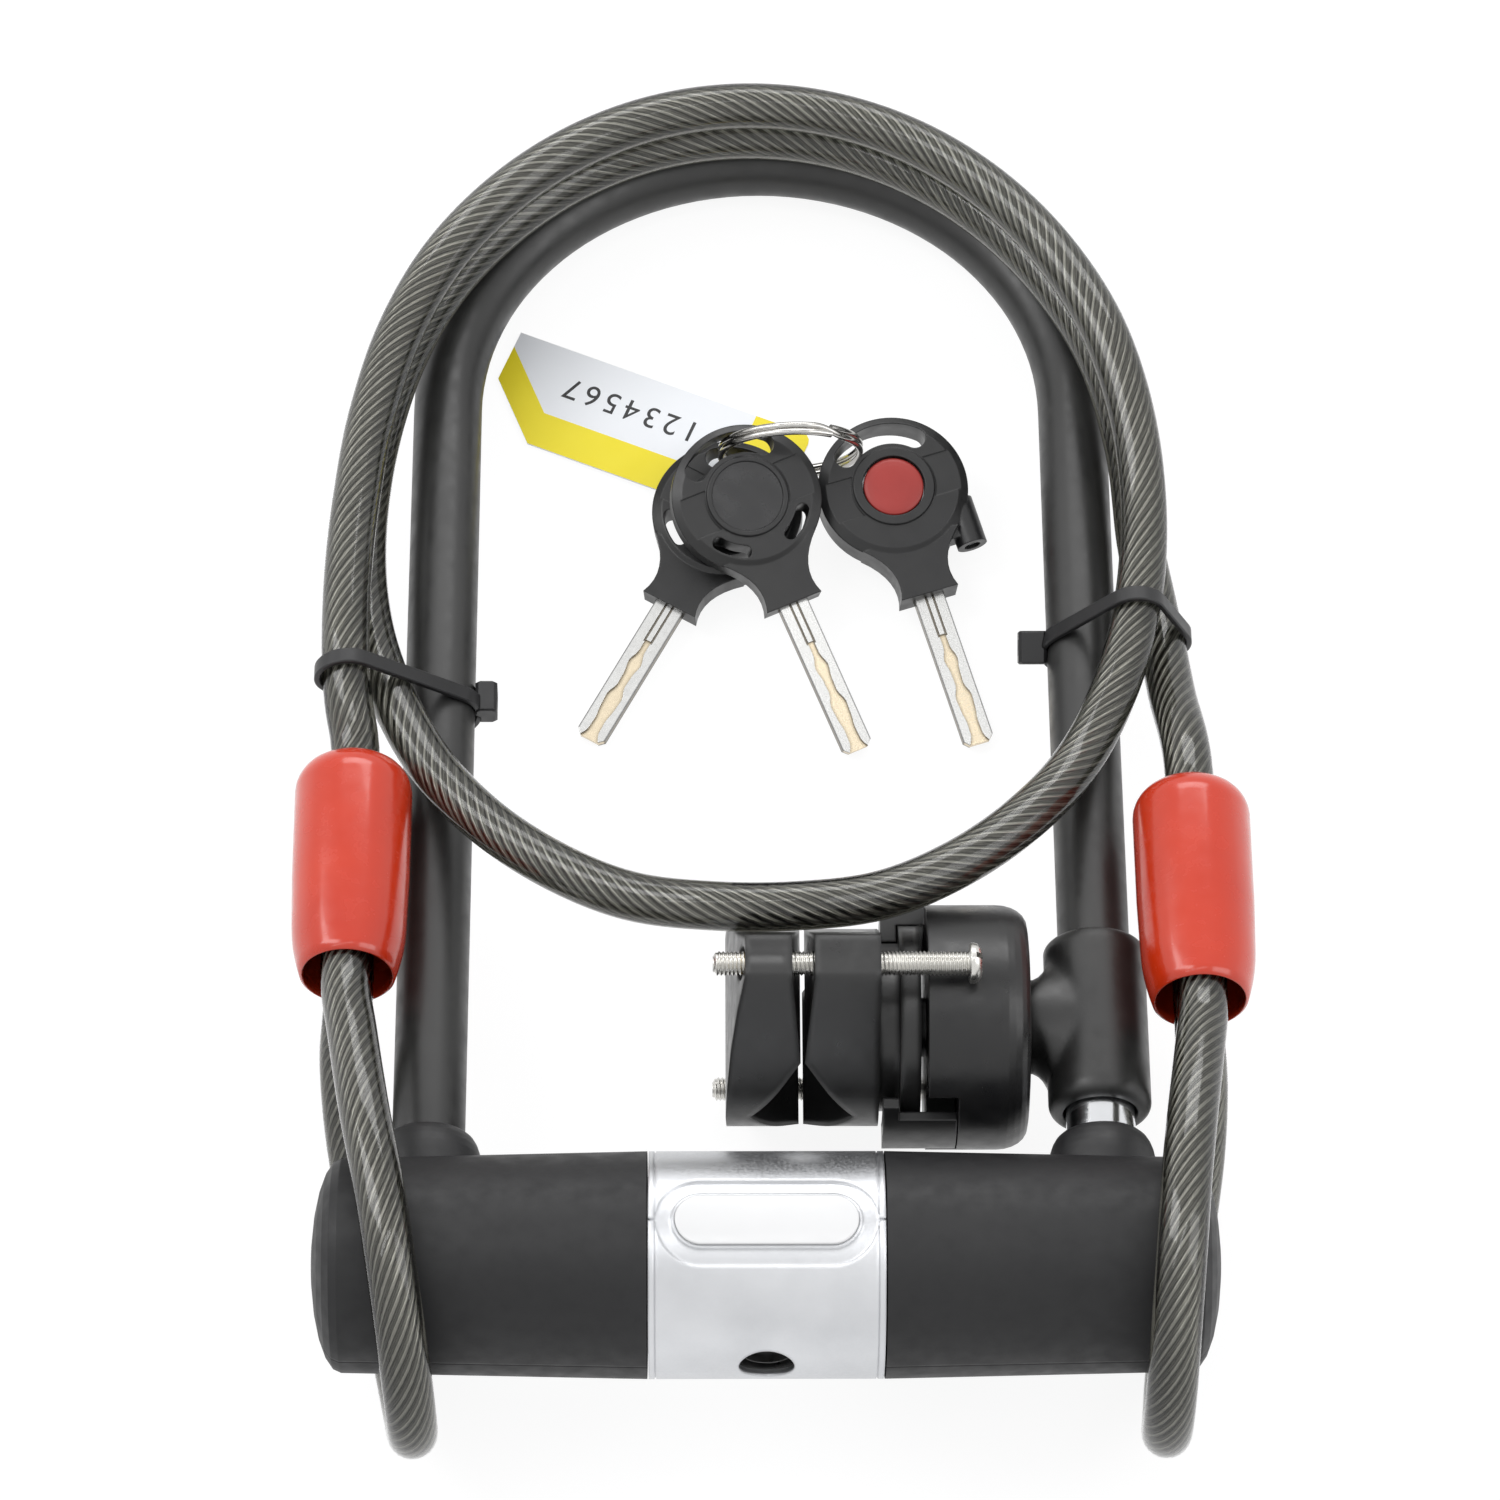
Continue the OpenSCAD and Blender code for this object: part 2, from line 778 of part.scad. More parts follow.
// Bracket
module on_bracket() {
    on_lock()
        translate([0, bracket_v, 0])
            children();
}
module on_clamp() {
    on_bracket()
        rotate([clamp_turn, 0, 0])
            children();
}
module carrier_body() {
    low = -carrier_len / 2 - carrier_drop;
    high = carrier_len / 2 - carrier_drop;
    at_leg(1)
        turned_y()
            polygon(concat([[0, low]],
                           [for (a = [90:-dome_step:0])
                               [carrier_r - carrier_foot * (1 - cos(a)), low + carrier_foot * (1 - sin(a))]],
                           [for (a = [0:dome_step:90])
                               [carrier_r - carrier_edge * (1 - cos(a)), high - carrier_edge * (1 - sin(a))]],
                           [[0, high]]));
}
module neck_side(s) {
    translate([0, 0, s * (neck_r - neck_side_r)])
        rod_x(neck_side_r, 0, leg_x);
}
module carrier_neck() {
    flare_x = head_x1 + neck_straight;
    intersection() {
        turned_x()
            polygon(concat([[0, head_x1], [neck_r, head_x1]],
                           [for (a = [0:dome_step:90])
                               [neck_r + flare_rise * (1 - cos(a)), flare_x + flare_run * sin(a)]],
                           [[neck_r + flare_rise, leg_x], [0, leg_x]]));
        neck_side(1);
        neck_side(-1);
    }
}
module leg_carrier() {
    color([0.13, 0.13, 0.13])
        on_bracket()
            difference() {
                union() {
                    carrier_body();
                    carrier_neck();
                }
                at_leg(1)
                    rod_y(carrier_bore_r, -far, far);
                rod_x(carrier_screw_r, 0, leg_x);
            }
}
module claw_part(side, inner_r, to_x, top_w) {
    intersection() {
        turned_x()
            polygon([[inner_r, hook_x0], [head_r, hook_x0], [head_r, to_x], [inner_r, to_x]]);
        box([0, min(0, side * far), -claw_half], [far, max(0, side * far), top_w]);
    }
}
module latch_pocket(from_x, top_w, grow) {
    box([from_x, -far, -claw_half - grow],
        [head_x0 + latch_pocket_len + grow, latch_pocket_depth + grow - head_r, top_w + grow]);
}
module release_head() {
    color([0.09, 0.09, 0.09])
        on_bracket()
            difference() {
                union() {
                    turned_x()
                        polygon(concat([[0, head_x0], [head_r, head_x0]],
                                       [for (a = [0:dome_step:90])
                                           [head_r - rim_drop * (1 - cos(a)),
                                            head_x1 - rim_len * (1 - sin(a))]],
                                       [[0, head_x1]]));
                    claw_part(1, step_r + slide_gap, hook_x1, claw_half);
                    claw_part(1, flange_r + slide_gap, head_x0, claw_half);
                }
                rod_x(pivot_r + run_gap, 0, head_x0 + pivot_len);
                rod_x(carrier_screw_r, 0, far);
                latch_pocket(head_x0 - 1, latch_pocket_w, slide_gap);
            }
}
module release_latch() {
    arm_r = head_r - latch_arm_t;
    color([0.2, 0.2, 0.2])
        on_bracket() {
            claw_part(-1, hook_r, hook_x1, latch_ledge_w);
            claw_part(-1, arm_r, hook_x1, claw_half);
            claw_part(-1, flange_r + slide_gap, head_x0, latch_block_w);
            claw_part(-1, arm_r, head_x0 + latch_pocket_len, latch_ledge_w);
            intersection() {
                rod_x(head_r, head_x0, head_x1);
                latch_pocket(head_x0, latch_block_w, 0);
            }
        }
}
module carrier_screw() {
    head_at = head_x0 + pivot_len;
    color("silver")
        on_bracket() {
            rod_x(carrier_screw_r, head_at, leg_x - carrier_bore_r - 1);
            rod_x(carrier_screw_head_r, head_at - carrier_screw_head_t, head_at);
        }
}
function arc_points(centre, r, from, to) =
    [for (k = [0:arc_steps])
        let (a = from + (to - from) * k / arc_steps)
        centre + r * [sin(a), cos(a)]];
module jaw_outline() {
    lean = acos((jaw_r - ear_r) / screw_dist);
    polygon(concat(arc_points([0, screw_dist], ear_r, -lean, lean),
                   arc_points([0, 0], jaw_r, lean, 180 - lean),
                   arc_points([0, -screw_dist], ear_r, 180 - lean, 180 + lean),
                   arc_points([0, 0], jaw_r, 180 + lean, 360 - lean)));
}
module jaw_front(side) {
    bulge = side < 0 ? jaw_bulge : 0;
    inner = jaw_gap / 2;
    ear_inner = inner + ear_gap_extra;
    back = [for (k = [-jaw_steps:jaw_steps])
               let (q = k / jaw_steps)
               [jaw_t - bulge * q * q, q * jaw_span]];
    vee = [[ear_inner, jaw_span], [inner, vee_half], [vee_depth, 0],
           [inner, -vee_half], [ear_inner, -jaw_span]];
    mirror([side < 0 ? 1 : 0, 0])
        polygon(concat(vee, back));
}
module jaw(side) {
    intersection() {
        along_x(-far, far)
            jaw_outline();
        translate([bore_x, 0, 0])
            along_y(-far, far)
                jaw_front(side);
    }
}
module screw_places() {
    for (s = [-1, 1])
        translate([0, 0, s * screw_dist])
            children();
}
module clamp_base() {
    color([0.11, 0.11, 0.11])
        on_clamp()
            difference() {
                union() {
                    jaw(1);
                    rod_x(step_r, bore_x + jaw_t - 1, flange_x0);
                    rod_x(flange_r, flange_x0, flange_x1);
                    rod_x(pivot_r, flange_x1, head_x0 + pivot_len - 2);
                }
                screw_places()
                    rod_x(screw_hole_r, 0, bore_x + 2 * jaw_t);
            }
}
module clamp_jaw() {
    color([0.11, 0.11, 0.11])
        on_clamp()
            difference() {
                jaw(-1);
                screw_places() {
                    rod_x(screw_hole_r, -far, far);
                    rod_x(insert_r, -far, insert_x0 + insert_len);
                }
            }
}
module clamp_screws() {
    color("silver")
        on_clamp()
            screw_places() {
                rod_x(screw_r, screw_x0, screw_x0 + screw_len);
                rod_x(screw_head_r, screw_x0 + screw_len, screw_x0 + screw_len + screw_head_t);
            }
}
module clamp_inserts() {
    color("peru")
        on_clamp()
            screw_places()
                difference() {
                    rod_x(insert_r, insert_x0, insert_x0 + insert_len);
                    rod_x(screw_r + run_gap, -far, far);
                }
}

// Cable with its eyes, sleeves and ties
module cable_coil() {
    color("dimgray")
        on_lock()
            tube_along(coil_route, [0, 0, 1], cable_r, cable_sides);
}
module left_eye() {
    color("dimgray")
        on_lock()
            tube_along(left_eye_route, [1, 0, 0], cable_r, cable_sides);
}
module right_eye() {
    color("dimgray")
        on_lock()
            tube_along(right_eye_route, [1, 0, 0], cable_r, cable_sides);
}
module at_left_sleeve() {
    on_lock()
        translate([left_sleeve_x, left_sleeve_v, sleeve_w])
            children();
}
module at_right_sleeve() {
    on_lock()
        translate([right_sleeve_x, right_sleeve_v, sleeve_w])
            children();
}
module crimp() {
    along_y(crimp_from, crimp_to)
        rotate(90)
            oval(2 * (strand_off + crimp_r), 2 * crimp_r);
}
module sleeve() {
    outer = sleeve_d / 2;
    inner = outer - sleeve_wall;
    hole = cable_r + slide_gap;
    round_in = sleeve_round - sleeve_wall;
    top_in = sleeve_len - sleeve_wall;
    turned_y()
        polygon(concat([[inner - sleeve_taper, 0], [outer - sleeve_taper, 0], [outer, sleeve_len / 2]],
                       [for (a = [0:dome_step:90])
                           [outer - sleeve_round * (1 - cos(a)), sleeve_len - sleeve_round * (1 - sin(a))]],
                       [[hole, sleeve_len], [hole, top_in]],
                       [for (a = [90:-dome_step:0])
                           [inner - round_in * (1 - cos(a)), top_in - round_in * (1 - sin(a))]],
                       [[inner, sleeve_len / 2]]));
}
module left_crimp() {
    color("lightgray")
        at_left_sleeve()
            crimp();
}
module right_crimp() {
    color("lightgray")
        at_right_sleeve()
            crimp();
}
module left_sleeve() {
    color("firebrick")
        at_left_sleeve()
            sleeve();
}
module right_sleeve() {
    color("firebrick")
        at_right_sleeve()
            sleeve();
}
module bundle_outline(bundle, grow) {
    hull()
        for (b = bundle)
            translate([b[0], b[1]])
                circle(r = b[2] + grow, $fn = 32);
}
module tie(bundle, v, side) {
    on_lock() {
        along_y(v - tie_w / 2, v + tie_w / 2)
            difference() {
                bundle_outline(bundle, tie_clear + tie_t);
                bundle_outline(bundle, tie_clear);
            }
        translate([side * tie_head_x, v, 0])
            cube(tie_head, center = true);
    }
}
module left_tie() {
    color([0.08, 0.08, 0.08])
        tie(left_bundle, left_tie_v, -1);
}
module right_tie() {
    color([0.08, 0.08, 0.08])
        tie(right_bundle, right_tie_v, 1);
}

// Keys
module at_key(place, turn, pitch) {
    translate(place)
        rotate([0, 0, turn])
            rotate([pitch, 0, 0])
                children();
}
module at_front_key() {
    at_key(front_key_place, front_key_turn, front_key_pitch)
        children();
}
module at_rear_key() {
    at_key(rear_key_place, rear_key_turn, rear_key_pitch)
        children();
}
module at_light_key() {
    at_key(light_key_place, light_key_turn, light_key_pitch)
        children();
}
module arc_slot(r, w, arc, middle) {
    rotate(middle - arc / 2)
        rotate_extrude(angle = arc)
            translate([r - w / 2, -far / 2])
                square([w, far]);
    for (s = [-1, 1])
        rotate(middle + s * arc / 2)
            translate([r, 0, -far / 2])
                cylinder(d = w, h = far);
}
function track_half(q) =
    let (n = len(track_halves) - 1, i = min(floor(q * n), n - 1))
    track_halves[i] + (track_halves[i + 1] - track_halves[i]) * smooth(q * n - i);
module blade_cuts() {
    track_y0 = neck_end + track_from;
    track_run = key_len + 1 - track_y0;
    translate([0, 0, blade_t / 2 - track_depth])
        linear_extrude(blade_t)
            polygon([for (side = [-1, 1]) for (k = [0:track_steps])
                        let (q = (side < 0 ? k : track_steps - k) / track_steps)
                        [side * track_half(q), -track_y0 - track_run * q]]);
    for (s = [-1, 1])
        box([s * flute_off - flute_w / 2, -track_y0 - flute_w, blade_t / 2 - flute_depth],
            [s * flute_off + flute_w / 2, -blade_root - 1, blade_t]);
}
module blade() {
    half = blade_w / 2;
    tip = half - blade_point;
    shoulder = key_len - blade_point;
    difference() {
        translate([0, 0, -blade_t / 2])
            linear_extrude(blade_t)
                polygon([[-half, -blade_root], [-half, -shoulder], [-tip, -key_len],
                         [tip, -key_len], [half, -shoulder], [half, -blade_root]]);
        for (turn = [0, 180])
            rotate([0, turn, 0])
                blade_cuts();
    }
}
function neck_half(y) =
    let (rim = sqrt(key_r * key_r - neck_from * neck_from),
         bow = (rim - neck_waist_w / 2) / pow(neck_waist - neck_from, 2),
         flare = (neck_end_w - neck_waist_w) / 2 / pow(neck_end - neck_waist, 2))
    neck_waist_w / 2 + (y < neck_waist ? bow : flare) * pow(y - neck_waist, 2);
module neck_outline() {
    polygon([for (side = [-1, 1]) for (k = [0:neck_steps])
                let (y = neck_from + (neck_end - neck_from) * (side < 0 ? k : neck_steps - k) / neck_steps)
                [side * neck_half(y), -y]]);
}
module grip_band(t) {
    difference() {
        box([-far, -band_half, t / 2 - band_depth], [far, band_half, far]);
        cylinder(r = band_from, h = far);
    }
}
module key_head(t) {
    difference() {
        union() {
            rotate_extrude()
                polygon([[0, -t / 2], [key_r - rim_bevel, -t / 2], [key_r, -t / 2 + rim_bevel_t],
                         [key_r, t / 2 - rim_bevel_t], [key_r - rim_bevel, t / 2], [0, t / 2]]);
            translate([0, 0, -t / 2 + neck_thin])
                linear_extrude(t - 2 * neck_thin)
                    neck_outline();
            translate([0, 0, t / 2 - bezel_rise])
                cylinder(r1 = cap_r + bezel_w + bezel_slope, r2 = cap_r + bezel_w, h = 2 * bezel_rise);
        }
        arc_slot(slot_r, slot_w, slot_arc, 90);
        for (turn = [0, 180])
            rotate([0, turn, 0])
                grip_band(t);
        box([-blade_w / 2, -neck_end - 1, -blade_t / 2], [blade_w / 2, -blade_root, blade_t / 2]);
    }
}
module plain_head() {
    difference() {
        key_head(key_t);
        for (s = [-1, 1])
            arc_slot(slot_r, small_slot_w, small_slot_arc, 90 + s * small_slot_turn);
        translate([0, 0, key_t / 2 - cap_depth])
            cylinder(r = cap_r, h = far);
    }
}
module plain_cap() {
    translate([0, 0, key_t / 2 - cap_depth])
        cylinder(r = cap_r, h = cap_depth + cap_rise);
}
module front_key_blade() {
    color("gainsboro")
        at_front_key()
            blade();
}
module front_key_head() {
    color([0.1, 0.1, 0.1])
        at_front_key()
            plain_head();
}
module front_key_cap() {
    color([0.16, 0.16, 0.18])
        at_front_key()
            plain_cap();
}
module rear_key_blade() {
    color("gainsboro")
        at_rear_key()
            blade();
}
module rear_key_head() {
    color([0.1, 0.1, 0.1])
        at_rear_key()
            plain_head();
}
module rear_key_cap() {
    color([0.16, 0.16, 0.18])
        at_rear_key()
            plain_cap();
}
module light_key_blade() {
    color("gainsboro")
        at_light_key()
            blade();
}
module at_nozzle() {
    translate([nozzle_x, nozzle_y - nozzle_len, 0])
        children();
}
module light_key_head() {
    button_floor = light_t / 2 - button_depth;
    color([0.1, 0.1, 0.1])
        at_light_key()
            difference() {
                union() {
                    key_head(light_t);
                    at_nozzle() {
                        rod_y(nozzle_r, 0, nozzle_len);
                        box([blade_w - nozzle_x, web_short, -web_half], [0, nozzle_len, web_half]);
                    }
                }
                translate([0, 0, button_floor])
                    cylinder(r = button_r + slide_gap, h = far);
                translate([0, 0, button_floor - cell_t])
                    cylinder(r = cell_r, h = cell_t);
                at_nozzle()
                    rod_y(lens_r, -1, lens_in + lens_t);
            }
}
module light_button() {
    bottom = light_t / 2 - button_depth + button_travel + button_gap;
    edge = light_t / 2 + button_rise;
    color("crimson")
        at_light_key()
            rotate_extrude()
                polygon(concat([[0, bottom], [button_r, bottom]],
                               [for (a = [0:dome_step:90])
                                   [button_r * cos(a), edge + button_dome * sin(a)]]));
}
module light_cell() {
    color("lightgray")
        at_light_key()
            translate([0, 0, light_t / 2 - button_depth - cell_t])
                cylinder(r = cell_r, h = cell_t);
}
module light_lens() {
    color("aliceblue")
        at_light_key()
            at_nozzle()
                rod_y(lens_r, lens_in, lens_in + lens_t);
}
module split_ring() {
    strand_overlap = 0.05;
    color("lightgray")
        translate(ring_place)
            rotate([0, 0, ring_turn])
                rotate([ring_lean, 0, 0])
                    translate([0, 0, ring_r + wire_r])
                        rotate([90, 0, 0])
                            rotate_extrude()
                                for (s = [-1, 1])
                                    translate([ring_r, s * wire_r * (1 - strand_overlap)])
                                        circle(r = wire_r);
}
module key_tag() {
    half = tag_w / 2;
    color("ivory")
        translate(tag_place)
            rotate([0, 0, tag_turn])
                translate([0, 0, tag_len * sin(tag_lean)])
                    rotate([0, -tag_lean, 0])
                        linear_extrude(tag_t)
                            difference() {
                                polygon([[0, -half], [0, half], [-tag_len, half], [-tag_len, 0],
                                         [-tag_len + half, -half]]);
                                translate(tag_hole)
                                    circle(r = tag_hole_r);
                            }
}

crossbar_tube();
tube_end_plates();
left_cover();
right_cover();
left_cuff();
right_cuff();
collar_core();
key_collar();
grip_pad();
cylinder_housing();
lock_plug();
wafers();
drive_cam();
bolt_guides();
left_bolt();
right_bolt();
shackle_bar();
shackle_coating();
leg_carrier();
release_head();
carrier_screw();
release_latch();
clamp_base();
clamp_jaw();
clamp_screws();
clamp_inserts();
cable_coil();
left_eye();
right_eye();
left_crimp();
right_crimp();
left_sleeve();
right_sleeve();
left_tie();
right_tie();
split_ring();
key_tag();
front_key_blade();
front_key_head();
front_key_cap();
rear_key_blade();
rear_key_head();
rear_key_cap();
light_key_blade();
light_key_head();
light_button();
light_cell();
light_lens();
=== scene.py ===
"""U lock with a frame bracket, a looped cable and its keys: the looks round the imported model."""

import math

import bpy
from mathutils import Matrix, Vector
from mathutils.geometry import convex_hull_2d, delaunay_2d_cdt


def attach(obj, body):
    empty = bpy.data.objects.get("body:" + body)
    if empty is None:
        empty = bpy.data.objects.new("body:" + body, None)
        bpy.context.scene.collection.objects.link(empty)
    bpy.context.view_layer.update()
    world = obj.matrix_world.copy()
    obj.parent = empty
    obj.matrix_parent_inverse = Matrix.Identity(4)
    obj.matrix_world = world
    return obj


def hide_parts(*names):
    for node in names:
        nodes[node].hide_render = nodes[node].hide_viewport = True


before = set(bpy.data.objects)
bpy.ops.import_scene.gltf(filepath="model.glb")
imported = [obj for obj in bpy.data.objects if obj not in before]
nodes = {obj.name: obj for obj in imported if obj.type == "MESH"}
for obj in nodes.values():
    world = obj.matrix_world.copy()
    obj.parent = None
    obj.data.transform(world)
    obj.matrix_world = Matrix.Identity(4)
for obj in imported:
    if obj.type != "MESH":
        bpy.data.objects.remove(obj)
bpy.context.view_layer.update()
scene = bpy.context.scene
scene.view_settings.view_transform = "Standard"

MM = 0.001
TURN = 2 * math.pi

# Places of the main groups; sizes are in millimetres and angles in degrees until a mesh is made
LOCK_AT = (0, -128.871, 40.0977)
LOCK_LEAN = -6.8429
BRACKET_AT = (0, 54, 0)
CLAMP_TURN = 4
RING_AT = (6.4, 69.6, 0.3)
RING_TURN = 2
RING_LEAN = 9.7
RING_R = 15
WIRE_R = 0.75
TAG_AT = (6.6, 66, 0.05)
TAG_TURN = -23
TAG_LEAN = 2
TAG_LEN = 69.5


def turned(degrees, axis):
    return Matrix.Rotation(math.radians(degrees), 4, axis)


def moved(x, y, z):
    return Matrix.Translation(Vector((x, y, z)))


WORLD = Matrix.Scale(MM, 4)
LOCK = WORLD @ moved(*LOCK_AT) @ turned(LOCK_LEAN, "X")
CLAMP = LOCK @ moved(*BRACKET_AT) @ turned(CLAMP_TURN, "X")
RING = (WORLD @ moved(*RING_AT) @ turned(RING_TURN, "Z") @ turned(RING_LEAN, "X")
        @ moved(0, 0, RING_R + WIRE_R))
TAG = (WORLD @ moved(*TAG_AT) @ turned(TAG_TURN, "Z")
       @ moved(0, 0, TAG_LEN * math.sin(math.radians(TAG_LEAN))) @ turned(-TAG_LEAN, "Y"))

# Camera: pixels for the lens, millimetres for the sensor and metres for its place
FOCAL_PX = 6031.7
FRAME_PX = 1500
SENSOR = 36
CLIP_NEAR = 0.05
CLIP_FAR = 50
CAMERA_AT = (-0.01241, -0.54816, 1.16386)
CAMERA_AHEAD = (0.0078, 0.42798, -0.90376)
CAMERA_UP = (0.0007, 0.90378, 0.428)


def make_camera():
    data = bpy.data.cameras.new("camera")
    data.sensor_width = SENSOR
    data.lens = FOCAL_PX / FRAME_PX * SENSOR
    data.clip_start = CLIP_NEAR
    data.clip_end = CLIP_FAR
    camera = bpy.data.objects.new("camera", data)
    scene.collection.objects.link(camera)
    ahead = Vector(CAMERA_AHEAD).normalized()
    right = ahead.cross(Vector(CAMERA_UP)).normalized()
    up = right.cross(ahead)
    facing = Matrix((right, up, -ahead)).transposed().to_4x4()
    camera.matrix_world = Matrix.Translation(CAMERA_AT) @ facing
    scene.camera = camera


# Node helpers
def link(tree, out, into):
    tree.links.new(out, into)


def maths(tree, operation, first, second=None):
    """One sum on an output, with a number or another output where it takes two."""
    made = tree.nodes.new("ShaderNodeMath")
    made.operation = operation
    link(tree, first, made.inputs[0])
    if isinstance(second, (int, float)):
        made.inputs[1].default_value = second
    elif second is not None:
        link(tree, second, made.inputs[1])
    return made.outputs[0]


def mix_shaders(tree, share, first, second, into):
    mix = tree.nodes.new("ShaderNodeMixShader")
    link(tree, share, mix.inputs[0])
    link(tree, first, mix.inputs[1])
    link(tree, second, mix.inputs[2])
    link(tree, mix.outputs[0], into)


def seen_directly(tree):
    """1 for the rays that see the background: from the camera, off metal and through glass."""
    path = tree.nodes.new("ShaderNodeLightPath")
    first = maths(tree, "MAXIMUM", path.outputs["Is Camera Ray"], path.outputs["Is Glossy Ray"])
    return maths(tree, "MAXIMUM", first, path.outputs["Is Transmission Ray"])


# Studio: sizes and places in metres, power in watts
FILL_COLOUR = (0.97, 0.98, 1, 1)
FILL_STRENGTH = 0.55
WHITE = (1, 1, 1, 1)
FLOOR_HALF = 6
FLOOR_Z = -0.0003
FLOOR_COLOUR = (0.9, 0.9, 0.9, 1)
FLOOR_ROUGH = 0.9
FLOOR_WHITE_SHARE = 0.8
FLOOR_GLOW = 1.12
# Place, width, height and power of each lamp; all point at the middle
LAMPS = {
    "key": ((-0.9, 0.35, 1.1), 0.5, 1.1, 7),
    "fill": ((1.0, -0.1, 0.9), 0.6, 1.0, 4),
    "back": ((0.1, 1.2, 0.9), 1.2, 0.5, 7),
    "top": ((-0.25, -0.1, 1.4), 0.08, 1.5, 1.6),
}


def make_world():
    world = bpy.data.worlds.new("studio")
    scene.world = world
    world.use_nodes = True
    tree = world.node_tree
    fill = tree.nodes["Background"]
    fill.inputs["Color"].default_value = FILL_COLOUR
    fill.inputs["Strength"].default_value = FILL_STRENGTH
    white = tree.nodes.new("ShaderNodeBackground")
    white.inputs["Color"].default_value = WHITE
    white.inputs["Strength"].default_value = 1
    mix_shaders(tree, seen_directly(tree), fill.outputs[0], white.outputs[0],
                tree.nodes["World Output"].inputs["Surface"])


def make_floor():
    mesh = bpy.data.meshes.new("floor")
    corners = [(-1, -1), (1, -1), (1, 1), (-1, 1)]
    mesh.from_pydata([(x * FLOOR_HALF, y * FLOOR_HALF, FLOOR_Z) for x, y in corners], [], [(0, 1, 2, 3)])
    floor = bpy.data.objects.new("floor", mesh)
    scene.collection.objects.link(floor)
    made = bpy.data.materials.new("floor_white")
    made.use_nodes = True
    tree = made.node_tree
    shader = tree.nodes["Principled BSDF"]
    shader.inputs["Base Color"].default_value = FLOOR_COLOUR
    shader.inputs["Roughness"].default_value = FLOOR_ROUGH
    shader.inputs["Specular IOR Level"].default_value = 0
    glow = tree.nodes.new("ShaderNodeEmission")
    glow.inputs["Strength"].default_value = FLOOR_GLOW
    share = maths(tree, "MULTIPLY", seen_directly(tree), FLOOR_WHITE_SHARE)
    mix_shaders(tree, share, shader.outputs[0], glow.outputs[0],
                tree.nodes["Material Output"].inputs["Surface"])
    mesh.materials.append(made)


def make_lamps():
    for name, (place, width, height, power) in LAMPS.items():
        data = bpy.data.lights.new(name, "AREA")
        data.shape = "RECTANGLE"
        data.size = width
        data.size_y = height
        data.energy = power
        made = bpy.data.objects.new(name, data)
        scene.collection.objects.link(made)
        aim = (-Vector(place)).to_track_quat("-Z", "Y")
        made.matrix_world = Matrix.Translation(place) @ aim.to_matrix().to_4x4()


# Materials
EVEN = (1, 1, 1)
# Scale and detail of the noises that most materials share, and the part of their range that is used
FLOW_NOISE = (45, 4)
SHEEN_NOISE = (260, 3)
TONE_NOISE = (70, 4)
GRAIN_DETAIL = 2
MARK_DETAIL = 3
NOISE_LOW = 0.3
NOISE_HIGH = 0.7
SHEEN_SPREAD = 0.07
METAL_SMOOTHER = 0.06
METAL_ROUGHER = 0.08
EDGE_SAMPLES = 6


